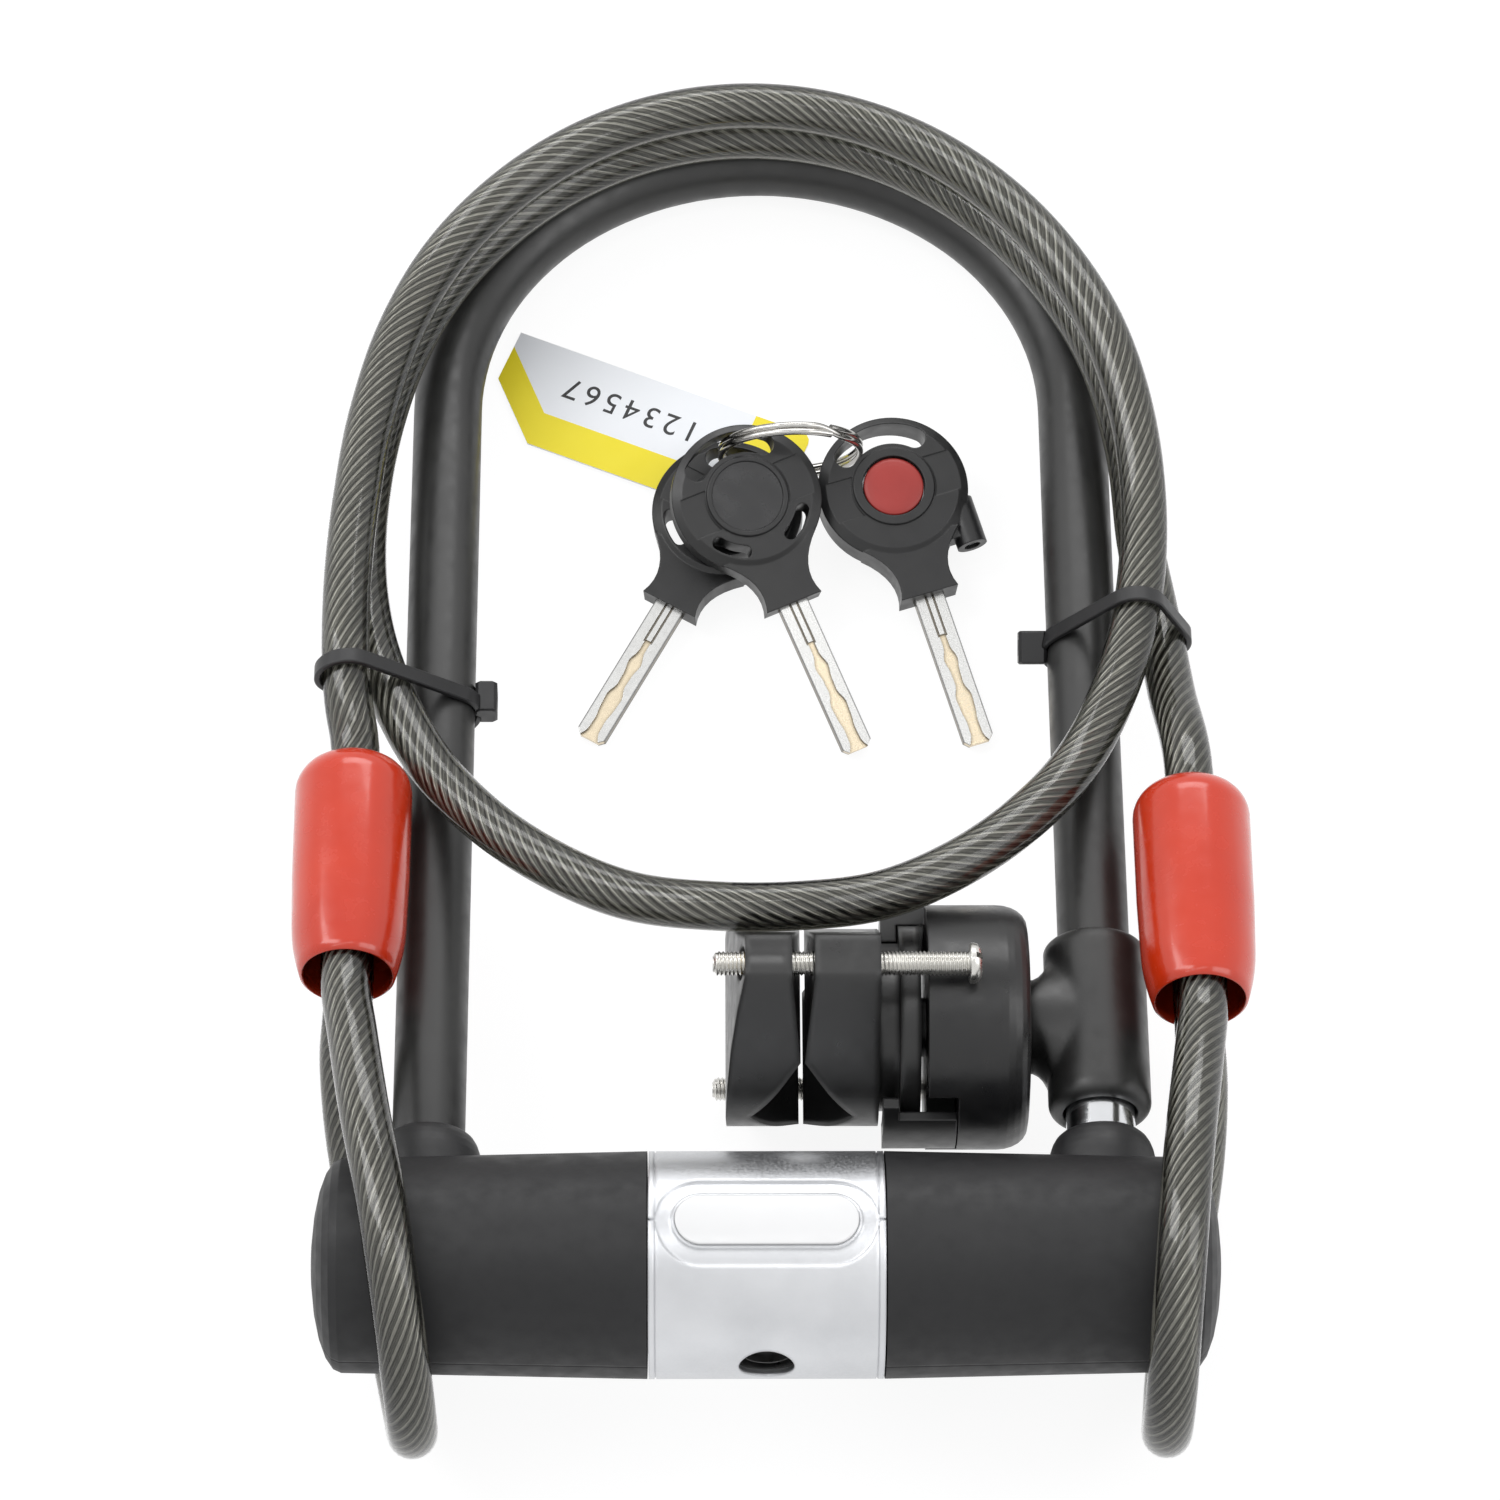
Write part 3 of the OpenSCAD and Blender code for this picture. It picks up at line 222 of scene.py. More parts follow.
class Look:
    """A material and short ways to feed its shader."""

    def __init__(self, name, colour, **sockets):
        self.made = bpy.data.materials.new(name)
        self.made.use_nodes = True
        self.tree = self.made.node_tree
        self.shader = self.tree.nodes["Principled BSDF"]
        self.set("Base Color", (*colour, 1))
        for socket, value in sockets.items():
            self.set(socket.replace("_", " "), value)
        self.normal = None

    def set(self, socket, value):
        self.shader.inputs[socket].default_value = value

    def node(self, kind, **settings):
        made = self.tree.nodes.new(kind)
        for name, value in settings.items():
            setattr(made, name, value)
        return made

    def coords(self, stretch=EVEN, kind="Object"):
        place = self.node("ShaderNodeTexCoord")
        mapping = self.node("ShaderNodeMapping")
        mapping.inputs["Scale"].default_value = stretch
        link(self.tree, place.outputs[kind], mapping.inputs["Vector"])
        return mapping.outputs["Vector"]

    def noise(self, scale, detail, stretch=EVEN):
        made = self.node("ShaderNodeTexNoise")
        made.inputs["Scale"].default_value = scale
        made.inputs["Detail"].default_value = detail
        link(self.tree, self.coords(stretch), made.inputs["Vector"])
        return made.outputs["Fac"]

    def local_part(self, place, axis):
        """Distance from the middle of a group along one of its axes."""
        spot = self.node("ShaderNodeTexCoord")
        local = self.node("ShaderNodeMapping", vector_type="TEXTURE")
        local.inputs["Location"].default_value = place.to_translation()
        local.inputs["Rotation"].default_value = place.to_euler()
        link(self.tree, spot.outputs["Object"], local.inputs["Vector"])
        parts = self.node("ShaderNodeSeparateXYZ")
        link(self.tree, local.outputs["Vector"], parts.inputs[0])
        return maths(self.tree, "ABSOLUTE", parts.outputs[axis])

    def ramp(self, value, stops):
        made = self.node("ShaderNodeValToRGB")
        elements = made.color_ramp.elements
        for element, (position, colour) in zip(elements, (stops[0], stops[-1])):
            element.position = position
            element.color = (*colour, 1)
        for position, colour in stops[1:-1]:
            elements.new(position).color = (*colour, 1)
        link(self.tree, value, made.inputs["Fac"])
        return made.outputs["Color"]

    def tint(self, value, dark, light):
        tones = self.ramp(value, [(NOISE_LOW, dark), (NOISE_HIGH, light)])
        link(self.tree, tones, self.shader.inputs["Base Color"])

    def vary(self, socket, value, low, high):
        made = self.node("ShaderNodeMapRange")
        made.inputs["From Min"].default_value = NOISE_LOW
        made.inputs["From Max"].default_value = NOISE_HIGH
        made.inputs["To Min"].default_value = low
        made.inputs["To Max"].default_value = high
        link(self.tree, value, made.inputs["Value"])
        link(self.tree, made.outputs["Result"], self.shader.inputs[socket])

    def soften(self, radius):
        """Rounds the hard edges a little where they catch the light."""
        made = self.node("ShaderNodeBevel", samples=EDGE_SAMPLES)
        made.inputs["Radius"].default_value = radius * MM
        self.normal = made.outputs["Normal"]

    def bump(self, value, depth):
        made = self.node("ShaderNodeBump")
        made.inputs["Strength"].default_value = 1
        made.inputs["Distance"].default_value = depth * MM
        link(self.tree, value, made.inputs["Height"])
        if self.normal:
            link(self.tree, self.normal, made.inputs["Normal"])
        self.normal = made.outputs["Normal"]

    def finish(self):
        if self.normal:
            link(self.tree, self.normal, self.shader.inputs["Normal"])
        return self.made


# Moulded pieces: name, dark and light tone, roughness, scale and depth of the grain, rounding of the edges
PLASTICS = {
    "cuff": ("cuff_matte", (0.012, 0.012, 0.013), (0.018, 0.018, 0.019), 0.52, 2200, 0.015, 0.6),
    "coating": ("coating_satin", (0.018, 0.018, 0.018), (0.026, 0.026, 0.025), 0.4, 700, 0.006, 0),
    "bracket": ("bracket_nylon", (0.012, 0.012, 0.012), (0.019, 0.019, 0.019), 0.34, 1800, 0.012, 2.0),
    "bracket_head": ("head_nylon", (0.009, 0.009, 0.01), (0.016, 0.016, 0.016), 0.34, 1500, 0.012, 0.6),
    "carrier": ("carrier_nylon", (0.015, 0.015, 0.015), (0.023, 0.023, 0.022), 0.36, 1800, 0.012, 3.5),
    "key_head": ("key_plastic", (0.008, 0.008, 0.009), (0.014, 0.014, 0.014), 0.36, 2400, 0.012, 0.45),
    "key_cap": ("key_insert", (0.014, 0.014, 0.015), (0.02, 0.02, 0.021), 0.3, 3000, 0.006, 0.3),
    "tie": ("tie_nylon", (0.012, 0.012, 0.013), (0.02, 0.02, 0.021), 0.4, 1600, 0.01, 0.3),
    "button": ("button_red", (0.3, 0.025, 0.02), (0.4, 0.035, 0.028), 0.42, 1600, 0.012, 0.3),
    "grip": ("grip_white", (0.84, 0.84, 0.84), (0.88, 0.88, 0.88), 0.2, 900, 0.004, 0.6),
    "sleeve": ("sleeve_vinyl", (0.56, 0.026, 0.003), (0.64, 0.036, 0.005), 0.24, 240, 0.03, 0.3),
    "lens": ("lens_clear", (0.85, 0.87, 0.9), (0.9, 0.92, 0.95), 0.12, 900, 0.003, 0.3),
    "card": ("tag_card", (0.92, 0.94, 0.97), (0.95, 0.97, 1.0), 0.35, 1200, 0.004, 0),
    "band": ("tag_band", (0.93, 0.77, 0.02), (0.97, 0.82, 0.03), 0.35, 1200, 0.004, 0),
    "ink": ("tag_ink", (0.02, 0.02, 0.022), (0.03, 0.03, 0.03), 0.5, 1200, 0.002, 0),
}
# What some of them also set on the shader
PLASTIC_SOCKETS = {
    "coating": {"Specular_IOR_Level": 0.6},
    "bracket": {"Specular_IOR_Level": 0.6},
    "carrier": {"Specular_IOR_Level": 0.6},
    "sleeve": {"Coat_Weight": 0.4, "Coat_Roughness": 0.1},
    "lens": {"Transmission_Weight": 0.8},
}
# Metals: name, dark and light tone, roughness, stretch, scale and depth of the marks, rounding of the edges
METALS = {
    "collar": ("collar_silver", (0.6, 0.61, 0.63), (0.68, 0.69, 0.71), 0.36, EVEN, 1800, 0.006, 1.0),
    "shackle_steel": ("bar_bright", (0.7, 0.71, 0.73), (0.8, 0.81, 0.83), 0.14, (1, 60, 1), 90, 0.004, 0.2),
    "zinc": ("zinc_plate", (0.6, 0.59, 0.56), (0.72, 0.71, 0.68), 0.26, EVEN, 400, 0.004, 0.2),
    "ring_wire": ("ring_steel", (0.42, 0.41, 0.39), (0.52, 0.51, 0.49), 0.16, EVEN, 400, 0.004, 0),
    "steel_dark": ("tube_steel", (0.2, 0.2, 0.2), (0.3, 0.3, 0.3), 0.4, EVEN, 400, 0.004, 0.2),
    "hard_steel": ("bolt_steel", (0.4, 0.4, 0.41), (0.5, 0.5, 0.51), 0.3, EVEN, 400, 0.004, 0.2),
    "keyway": ("keyway_steel", (0.22, 0.22, 0.22), (0.34, 0.34, 0.34), 0.3, EVEN, 400, 0.004, 0.2),
    "brass": ("brass_turned", (0.55, 0.4, 0.15), (0.68, 0.5, 0.2), 0.28, EVEN, 400, 0.004, 0.2),
    "crimp": ("ferrule_alloy", (0.5, 0.5, 0.5), (0.62, 0.62, 0.62), 0.38, EVEN, 400, 0.004, 0.2),
}


def moulded(name, dark, light, rough, grain, depth, edge, **sockets):
    """Moulded plastic: fine grain, faint flow marks and an uneven sheen."""
    look = Look(name, light, **sockets)
    look.tint(look.noise(*FLOW_NOISE), dark, light)
    look.vary("Roughness", look.noise(*SHEEN_NOISE), rough - SHEEN_SPREAD, rough + SHEEN_SPREAD)
    if edge:
        look.soften(edge)
    look.bump(look.noise(grain, GRAIN_DETAIL), depth)
    return look.finish()


def metal(name, dark, light, rough, stretch, scale, depth, edge):
    """Bare or plated metal: fine marks along one direction and small changes of tone."""
    look = Look(name, light, Metallic=1.0)
    look.tint(look.noise(*TONE_NOISE), dark, light)
    marks = look.noise(scale, MARK_DETAIL, stretch)
    look.vary("Roughness", marks, rough - METAL_SMOOTHER, rough + METAL_ROUGHER)
    if edge:
        look.soften(edge)
    look.bump(marks, depth)
    return look.finish()


# Covers, with the distances from the parting line between which its groove rises
COVER_COLOUR = (0.01, 0.01, 0.011)
COVER_TONES = ((0.007, 0.007, 0.008), (0.011, 0.011, 0.012))
COVER_SHINE = 0.45
COVER_ROUGH = (0.48, 0.62)
COVER_EDGE = 0.3
COVER_GRAIN = (2600, 2)
COVER_GRAIN_DEPTH = 0.012
SEAM = (0.1, 0.4)
SEAM_DEPTH = 0.4


def cover_look():
    """Matte rubbery plastic with the moulds' parting line along both sides."""
    look = Look("cover_matte", COVER_COLOUR, Specular_IOR_Level=COVER_SHINE)
    look.tint(look.noise(*FLOW_NOISE), *COVER_TONES)
    look.vary("Roughness", look.noise(*SHEEN_NOISE), *COVER_ROUGH)
    look.soften(COVER_EDGE)
    look.bump(look.noise(*COVER_GRAIN), COVER_GRAIN_DEPTH)
    line = look.node("ShaderNodeMapRange")
    line.inputs["From Min"].default_value = SEAM[0] * MM
    line.inputs["From Max"].default_value = SEAM[1] * MM
    link(look.tree, look.local_part(LOCK, "Z"), line.inputs["Value"])
    look.bump(line.outputs["Result"], SEAM_DEPTH)
    return look.finish()


# Cable jacket
JACKET_COLOUR = (0.9, 0.9, 0.87)
JACKET_IOR = 1.5
JACKET_SHEEN = (150, 3)
JACKET_ROUGH = (0.06, 0.12)
JACKET_WAVES = (120, 2)
JACKET_WAVE_DEPTH = 0.03
SMOKE_COLOUR = (0.5, 0.495, 0.465, 1)
SMOKE_DENSITY = 560


def jacket_look():
    """Smoky clear vinyl: glossy outside, darker the longer the way through it, and open to the lamps."""
    look = Look("jacket_smoke", JACKET_COLOUR, IOR=JACKET_IOR, Transmission_Weight=1.0,
                Specular_IOR_Level=1.0)
    look.vary("Roughness", look.noise(*JACKET_SHEEN), *JACKET_ROUGH)
    look.bump(look.noise(*JACKET_WAVES), JACKET_WAVE_DEPTH)
    smoke = look.node("ShaderNodeVolumeAbsorption")
    smoke.inputs["Color"].default_value = SMOKE_COLOUR
    smoke.inputs["Density"].default_value = SMOKE_DENSITY
    output = look.tree.nodes["Material Output"]
    link(look.tree, smoke.outputs[0], output.inputs["Volume"])
    path = look.node("ShaderNodeLightPath")
    clear = look.node("ShaderNodeBsdfTransparent")
    mix_shaders(look.tree, path.outputs["Is Shadow Ray"], look.shader.outputs[0], clear.outputs[0],
                output.inputs["Surface"])
    return look.finish()


# Rope in the cable: waves per strand with how far each strays, and tones from painted shade in the gaps to
# painted light on the ridges
WAVE_PER_UNIT = TURN / 20
ROPE_WAVES = [(1, 2.5), (4, 2)]
WAVE_DETAIL = 2
WIRE_SHARE = 0.35
ROPE_COLOUR = (0.7, 0.7, 0.68)
ROPE_GAP_SHADE_RIDGE_LIGHT = [(0.15, (0.2, 0.2, 0.19)), (0.5, (0.46, 0.46, 0.44)), (0.85, (0.88, 0.88, 0.85))]
ROPE_METAL = 0.85
ROPE_ROUGH = 0.32
STRAND_DEPTH = 0.2


def rope_look():
    """Twisted steel wires: painted light on the ridges of the strands and of the finer wires in each, painted
    shade in the gaps between them.
    """
    look = Look("rope_steel", ROPE_COLOUR, Metallic=ROPE_METAL, Roughness=ROPE_ROUGH)
    spot = look.coords(EVEN, "UV")
    waves = []
    for count, stray in ROPE_WAVES:
        wave = look.node("ShaderNodeTexWave", wave_type="BANDS", bands_direction="Y", wave_profile="SIN")
        wave.inputs["Scale"].default_value = count * WAVE_PER_UNIT
        wave.inputs["Distortion"].default_value = stray
        wave.inputs["Detail"].default_value = WAVE_DETAIL
        link(look.tree, spot, wave.inputs["Vector"])
        waves.append(wave.outputs["Fac"])
    both = look.node("ShaderNodeMix", data_type="FLOAT")
    both.inputs["Factor"].default_value = WIRE_SHARE
    link(look.tree, waves[0], both.inputs["A"])
    link(look.tree, waves[1], both.inputs["B"])
    # The waves paint shade into the gaps between strands and wires and light onto their ridges
    link(look.tree, look.ramp(both.outputs["Result"], ROPE_GAP_SHADE_RIDGE_LIGHT), look.shader.inputs["Base Color"])
    look.bump(waves[0], STRAND_DEPTH)
    return look.finish()


# Key blades: place, turn and pitch of each, and tones by the share of the half thickness and half width, with
# painted shade on the cut walls and the sides and in the hollows
BLADES = {
    "front_key_blade": ((-3.2, 54.1, 17.35), 24.6, 14.8),
    "rear_key_blade": ((-7.1, 55.9, 7.35), -30, 5.6),
    "light_key_blade": ((28.5, 59.4, 10.6), 17.9, 8.4),
}
BLADE_HALF_T = 1.1
BLADE_HALF_W = 3.3
BLADE_COLOUR = (0.8, 0.79, 0.77)
# Warm tone on the track floor, painted shade on the cut walls, then the plain face
BLADE_DEPTH_TONES_WITH_WALL_SHADE = [(0.46, (0.72, 0.62, 0.46)), (0.52, (0.25, 0.22, 0.17)), (0.92, (0.3, 0.28, 0.25)),
                     (0.96, (0.62, 0.62, 0.61))]
# Painted shade on the blade's sides
BLADE_SIDE_SHADE = [(0.9, (1, 1, 1)), (0.97, (0.3, 0.3, 0.3))]
# Reach and samples of the painted shade in the blade's hollows
BLADE_SHADE = 0.8
SHADE_SAMPLES = 8
BLADE_MARKS = (900, 3)
BLADE_MARK_DEPTH = 0.001
BLADE_ROUGH = (0.24, 0.3)
BLADE_EDGE = 0.12


def blade_look(name, at, turn, pitch):
    """Nickel faces, a warm tone on the floor of the milled track, painted shade on the cut walls and the
    sides, and painted shade in the hollows.
    """
    place = WORLD @ moved(*at) @ turned(turn, "Z") @ turned(pitch, "X")
    look = Look(name + "_nickel", BLADE_COLOUR, Metallic=1.0)
    deep = maths(look.tree, "MULTIPLY", look.local_part(place, "Z"), 1 / (BLADE_HALF_T * MM))
    wide = maths(look.tree, "MULTIPLY", look.local_part(place, "X"), 1 / (BLADE_HALF_W * MM))
    # The depth tones times the painted shade on the sides
    both = look.node("ShaderNodeMix", data_type="RGBA", blend_type="MULTIPLY")
    both.inputs["Factor"].default_value = 1
    link(look.tree, look.ramp(deep, BLADE_DEPTH_TONES_WITH_WALL_SHADE), both.inputs["A"])
    link(look.tree, look.ramp(wide, BLADE_SIDE_SHADE), both.inputs["B"])
    # Ambient occlusion darkens the colour in the corners and hollows of the track: painted shade
    painted_hollow_shade = look.node("ShaderNodeAmbientOcclusion", samples=SHADE_SAMPLES, only_local=True)
    painted_hollow_shade.inputs["Distance"].default_value = BLADE_SHADE * MM
    link(look.tree, both.outputs["Result"], painted_hollow_shade.inputs["Color"])
    link(look.tree, painted_hollow_shade.outputs["Color"], look.shader.inputs["Base Color"])
    marks = look.noise(*BLADE_MARKS)
    look.vary("Roughness", marks, *BLADE_ROUGH)
    look.soften(BLADE_EDGE)
    look.bump(marks, BLADE_MARK_DEPTH)
    return look.finish()


def make_looks():
    looks = {}
    for key, row in PLASTICS.items():
        looks[key] = moulded(*row, **PLASTIC_SOCKETS.get(key, {}))
    for key, row in METALS.items():
        looks[key] = metal(*row)
    looks["cover"] = cover_look()
    looks["jacket"] = jacket_look()
    looks["rope"] = rope_look()
    return looks


# Mesh helpers, with how far a cutter reaches past what it cuts
CUT_PAST = 1


def piece(name, points, faces, look, body, place, smooth=True, slots=None):
    """A mesh object from points in millimetres, riding on a body of the frame."""
    mesh = bpy.data.meshes.new(name)
    mesh.from_pydata([place @ Vector(p) for p in points], [], faces)
    for one in look if isinstance(look, list) else [look]:
        mesh.materials.append(one)
    if slots:
        mesh.polygons.foreach_set("material_index", slots)
    mesh.polygons.foreach_set("use_smooth", [smooth] * len(faces))
    mesh.update()
    made = bpy.data.objects.new(name, mesh)
    scene.collection.objects.link(made)
    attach(made, body)
    return made


def by_angle(made, degrees):
    """Smooth shading that keeps the edges sharper than an angle."""
    mesh = made.data
    limit = math.radians(degrees)
    faces_of = {}
    for face in mesh.polygons:
        for key in face.edge_keys:
            faces_of.setdefault(key, []).append(face.normal)
    for edge in mesh.edges:
        normals = faces_of[tuple(sorted(edge.vertices))]
        edge.use_edge_sharp = len(normals) == 2 and normals[0].angle(normals[1], 0) > limit


def around(steps):
    """Cosine and sine at equal steps round a circle."""
    for k in range(steps):
        t = TURN * k / steps
        yield math.cos(t), math.sin(t)


def eased(s):
    return s * s * (3 - 2 * s)


def tube_faces(rows, sides, start=0):
    """Quads between rows of points that close on themselves, with both ends capped."""
    faces = []
    for i in range(rows - 1):
        for k in range(sides):
            a = start + i * sides + k
            b = start + i * sides + (k + 1) % sides
            faces.append((a, b, b + sides, a + sides))
    faces.append(tuple(start + k for k in reversed(range(sides))))
    faces.append(tuple(start + (rows - 1) * sides + k for k in range(sides)))
    return faces


def closed_faces(rows, sides):
    """Quads of a closed ring of rows."""
    faces = []
    for i in range(rows):
        for k in range(sides):
            after = (i + 1) % rows
            beside = (k + 1) % sides
            faces.append((i * sides + k, i * sides + beside, after * sides + beside, after * sides + k))
    return faces


def rim_edges(faces):
    """Edges that only one face has, in that face's direction."""
    found = {}
    for face in faces:
        for a, b in zip(face, face[1:] + face[:1]):
            found[(a, b)] = (b, a) not in found
            if (b, a) in found:
                found[(b, a)] = False
    return [edge for edge, alone in found.items() if alone]


def joined(parts):
    points = []
    faces = []
    for some, their in parts:
        faces += [tuple(i + len(points) for i in face) for face in their]
        points += some
    return points, faces


def block(low, high):
    points = []
    for x in (low[0], high[0]):
        for y in (low[1], high[1]):
            points += [Vector((x, y, z)) for z in (low[2], high[2])]
    faces = [(0, 1, 3, 2), (4, 6, 7, 5), (0, 4, 5, 1), (2, 3, 7, 6), (0, 2, 6, 4), (1, 5, 7, 3)]
    return points, faces


def loose_object(name, points, faces):
    mesh = bpy.data.meshes.new(name)
    mesh.from_pydata(points, [], faces)
    made = bpy.data.objects.new(name, mesh)
    scene.collection.objects.link(made)
    return made


def carved(solid, cutters):
    """The solid less the cutters, as points and faces."""
    body = loose_object("carved", *solid)
    tools = [loose_object("cutter", *cutter) for cutter in cutters]
    for tool in tools:
        cut = body.modifiers.new("cut", "BOOLEAN")
        cut.object = tool
        cut.solver = "EXACT"
    bpy.context.view_layer.update()
    result = bpy.data.meshes.new_from_object(body.evaluated_get(bpy.context.evaluated_depsgraph_get()))
    points = [v.co.copy() for v in result.vertices]
    faces = [tuple(f.vertices) for f in result.polygons]
    bpy.data.meshes.remove(result)
    for obj in [body] + tools:
        mesh = obj.data
        bpy.data.objects.remove(obj)
        bpy.data.meshes.remove(mesh)
    return points, faces


def smooth_route(points, step):
    """Points at about that step on a smooth curve through the given ones."""
    held = [Vector(p) for p in points]
    held = [2 * held[0] - held[1]] + held + [2 * held[-1] - held[-2]]
    made = []
    for a, b, c, d in zip(held, held[1:], held[2:], held[3:]):
        count = max(2, round((c - b).length / step))
        for i in range(count):
            t = i / count
            made.append(0.5 * (2 * b + (c - a) * t + (2 * a - 5 * b + 4 * c - d) * t ** 2
                               + (3 * b - a - 3 * c + d) * t ** 3))
    return made + [held[-2]]


def carried_frames(route):
    """Two directions square to the route at each point, carried along it without twist."""
    frames = []
    side = None
    for i, point in enumerate(route):
        ahead = (route[min(i + 1, len(route) - 1)] - route[max(i - 1, 0)]).normalized()
        if side is None:
            side = ahead.orthogonal()
        side = (side - ahead * side.dot(ahead)).normalized()
        frames.append((side, ahead.cross(side)))
    return frames


# Sleeves round the cable ends, along V of the lock and pinched from both sides at the mouth
SLEEVES = {"left_sleeve": (-84, 58, 14), "right_sleeve": (87.5, 52, 14)}
SLEEVE_R = 12
SLEEVE_LEN = 50
SLEEVE_WALL = 0.9
SLEEVE_ROUND = 7
SLEEVE_TAPER = 0.7
SLEEVE_HOLE = 5.2
SLEEVE_LIP = 0.3
SLEEVE_PINCH = 0.15
PINCH_RUN = 11
SLEEVE_ROWS = 12
ROUND_ROWS = 8
SLEEVE_SIDES = 72
SLEEVE_SHARP = 60


def sleeve_skin(inset):
    """Places along one skin of a sleeve with their radii, from the mouth to the hole at its top."""
    bend = SLEEVE_ROUND - inset
    top = SLEEVE_LEN - inset
    outer = SLEEVE_R - inset
    skin = []
    for i in range(SLEEVE_ROWS):
        y = SLEEVE_LIP + (SLEEVE_LEN / 2 - SLEEVE_LIP) * i / SLEEVE_ROWS
        skin.append((y, outer - SLEEVE_TAPER * (1 - 2 * y / SLEEVE_LEN)))
    for i in range(ROUND_ROWS + 1):
        t = TURN / 4 * i / ROUND_ROWS
        skin.append((top - bend * (1 - math.sin(t)), outer - bend * (1 - math.cos(t))))
    skin.append((top, SLEEVE_HOLE))
    return skin


def make_sleeves(looks):
    made = {}
    lip = (0, SLEEVE_R - SLEEVE_TAPER - SLEEVE_WALL / 2)
    profile = [lip] + sleeve_skin(0) + sleeve_skin(SLEEVE_WALL)[::-1]
    for node, (x, v, w) in SLEEVES.items():
        points = []
        for y, r in profile:
            narrow = 1 - SLEEVE_PINCH * max(0, 1 - y / PINCH_RUN) ** 2
            points += [(x + narrow * r * c, v + y, w - r * s) for c, s in around(SLEEVE_SIDES)]
        faces = closed_faces(len(profile), SLEEVE_SIDES)
        made[node] = piece(node + "_vinyl", points, faces, looks["sleeve"], "lock", LOCK)
        by_angle(made[node], SLEEVE_SHARP)
        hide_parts(node)
    return made


# Cable: its loops are an ellipse with heights at some angles, then its leads and eyes as routes
CABLE_R = 5
ROPE_R = 2.9
ROPE_FLUTE = 0.32
STRANDS = 10
POINTS_PER_STRAND = 5
ROPE_PITCH = 33
UV_LENGTH = 10
JACKET_SIDES = 24
CABLE_STEP = 2.4
LOOP_CENTRE = (-2, 169.5)
LOOP_HALF = (82.5, 102.5)
LOOP_ANGLES = range(12, 541, 12)
LOOP_HEIGHTS = [(0, 20), (12, 20.4), (35, 23.9), (152, 23.9), (190, 15), (213, 13.2), (240, 20), (270, 26.2),
                (300, 20), (325, 13.2), (360, 5.5), (395, 13.1), (512, 13.1), (540, 5)]
LEFT_LEAD = [(-84, 96, 14), (-84, 112, 14), (-85.6, 122, 17), (-86.4, 134, 19.6), (-86.4, 152, 20),
             (-85.2, 171, 20)]
RIGHT_LEAD = [(82.6, 156, 3.4), (84.3, 143, 4), (85.6, 129, 7), (87, 116, 12), (87.5, 106, 14),
              (87.5, 90, 14)]
LEFT_EYE = [(-84, 70, 19.25), (-84, 54, 19.25), (-82, 40, 22.5), (-79, 21, 26.6), (-75.5, 3, 27.8),
            (-73, -12, 25.2), (-71, -24, 17), (-69.8, -31, 6), (-69.5, -32.5, -6), (-70.2, -28, -18),
            (-71.6, -19, -28), (-73.8, -7, -33.6), (-76.5, 5, -34), (-79.5, 17, -30), (-82.5, 28, -22),
            (-84.4, 38, -11), (-85, 47, 0), (-84, 54, 8.75), (-84, 70, 8.75)]
RIGHT_EYE = [(87.5, 64, 19.25), (87.5, 48, 19.25), (86, 36, 22.5), (83.6, 19, 26.6), (81.6, 3, 27.8),
             (80.2, -12, 25.2), (79.2, -24, 17), (78.8, -31, 6), (78.8, -32.5, -6), (79.4, -28, -18),
             (80.6, -19, -28), (82, -7, -33.6), (84, 5, -34), (86, 16, -30), (87.6, 25, -22), (88.6, 33, -12),
             (88.6, 41, -1), (87.5, 48, 8.75), (87.5, 64, 8.75)]
# Eyes with their lengths, in metres
EYES = (("left", LEFT_EYE, 0.258), ("right", RIGHT_EYE, 0.246))


def loop_height(angle):
    for (a, low), (b, high) in zip(LOOP_HEIGHTS, LOOP_HEIGHTS[1:]):
        if angle <= b:
            return low + (high - low) * eased((angle - a) / (b - a))
    return LOOP_HEIGHTS[-1][1]


def loop_points():
    made = []
    for angle in LOOP_ANGLES:
        t = math.radians(angle)
        x = LOOP_CENTRE[0] - LOOP_HALF[0] * math.cos(t)
        v = LOOP_CENTRE[1] + LOOP_HALF[1] * math.sin(t)
        made.append((x, v, loop_height(angle)))
    return made


def wrap_uvs(mesh, uvs):
    """Gives each corner its place along and round the rope, also where a turn ends and the next starts."""
    layer = mesh.uv_layers.new(name="along_and_around")
    half = STRANDS / 2
    for face in mesh.polygons:
        spots = [uvs[i] for i in face.vertices]
        turned_over = max(v for _, v in spots) - min(v for _, v in spots) > half
        for loop, (u, v) in zip(face.loop_indices, spots):
            layer.data[loop].uv = (u, v + STRANDS if turned_over and v < half else v)


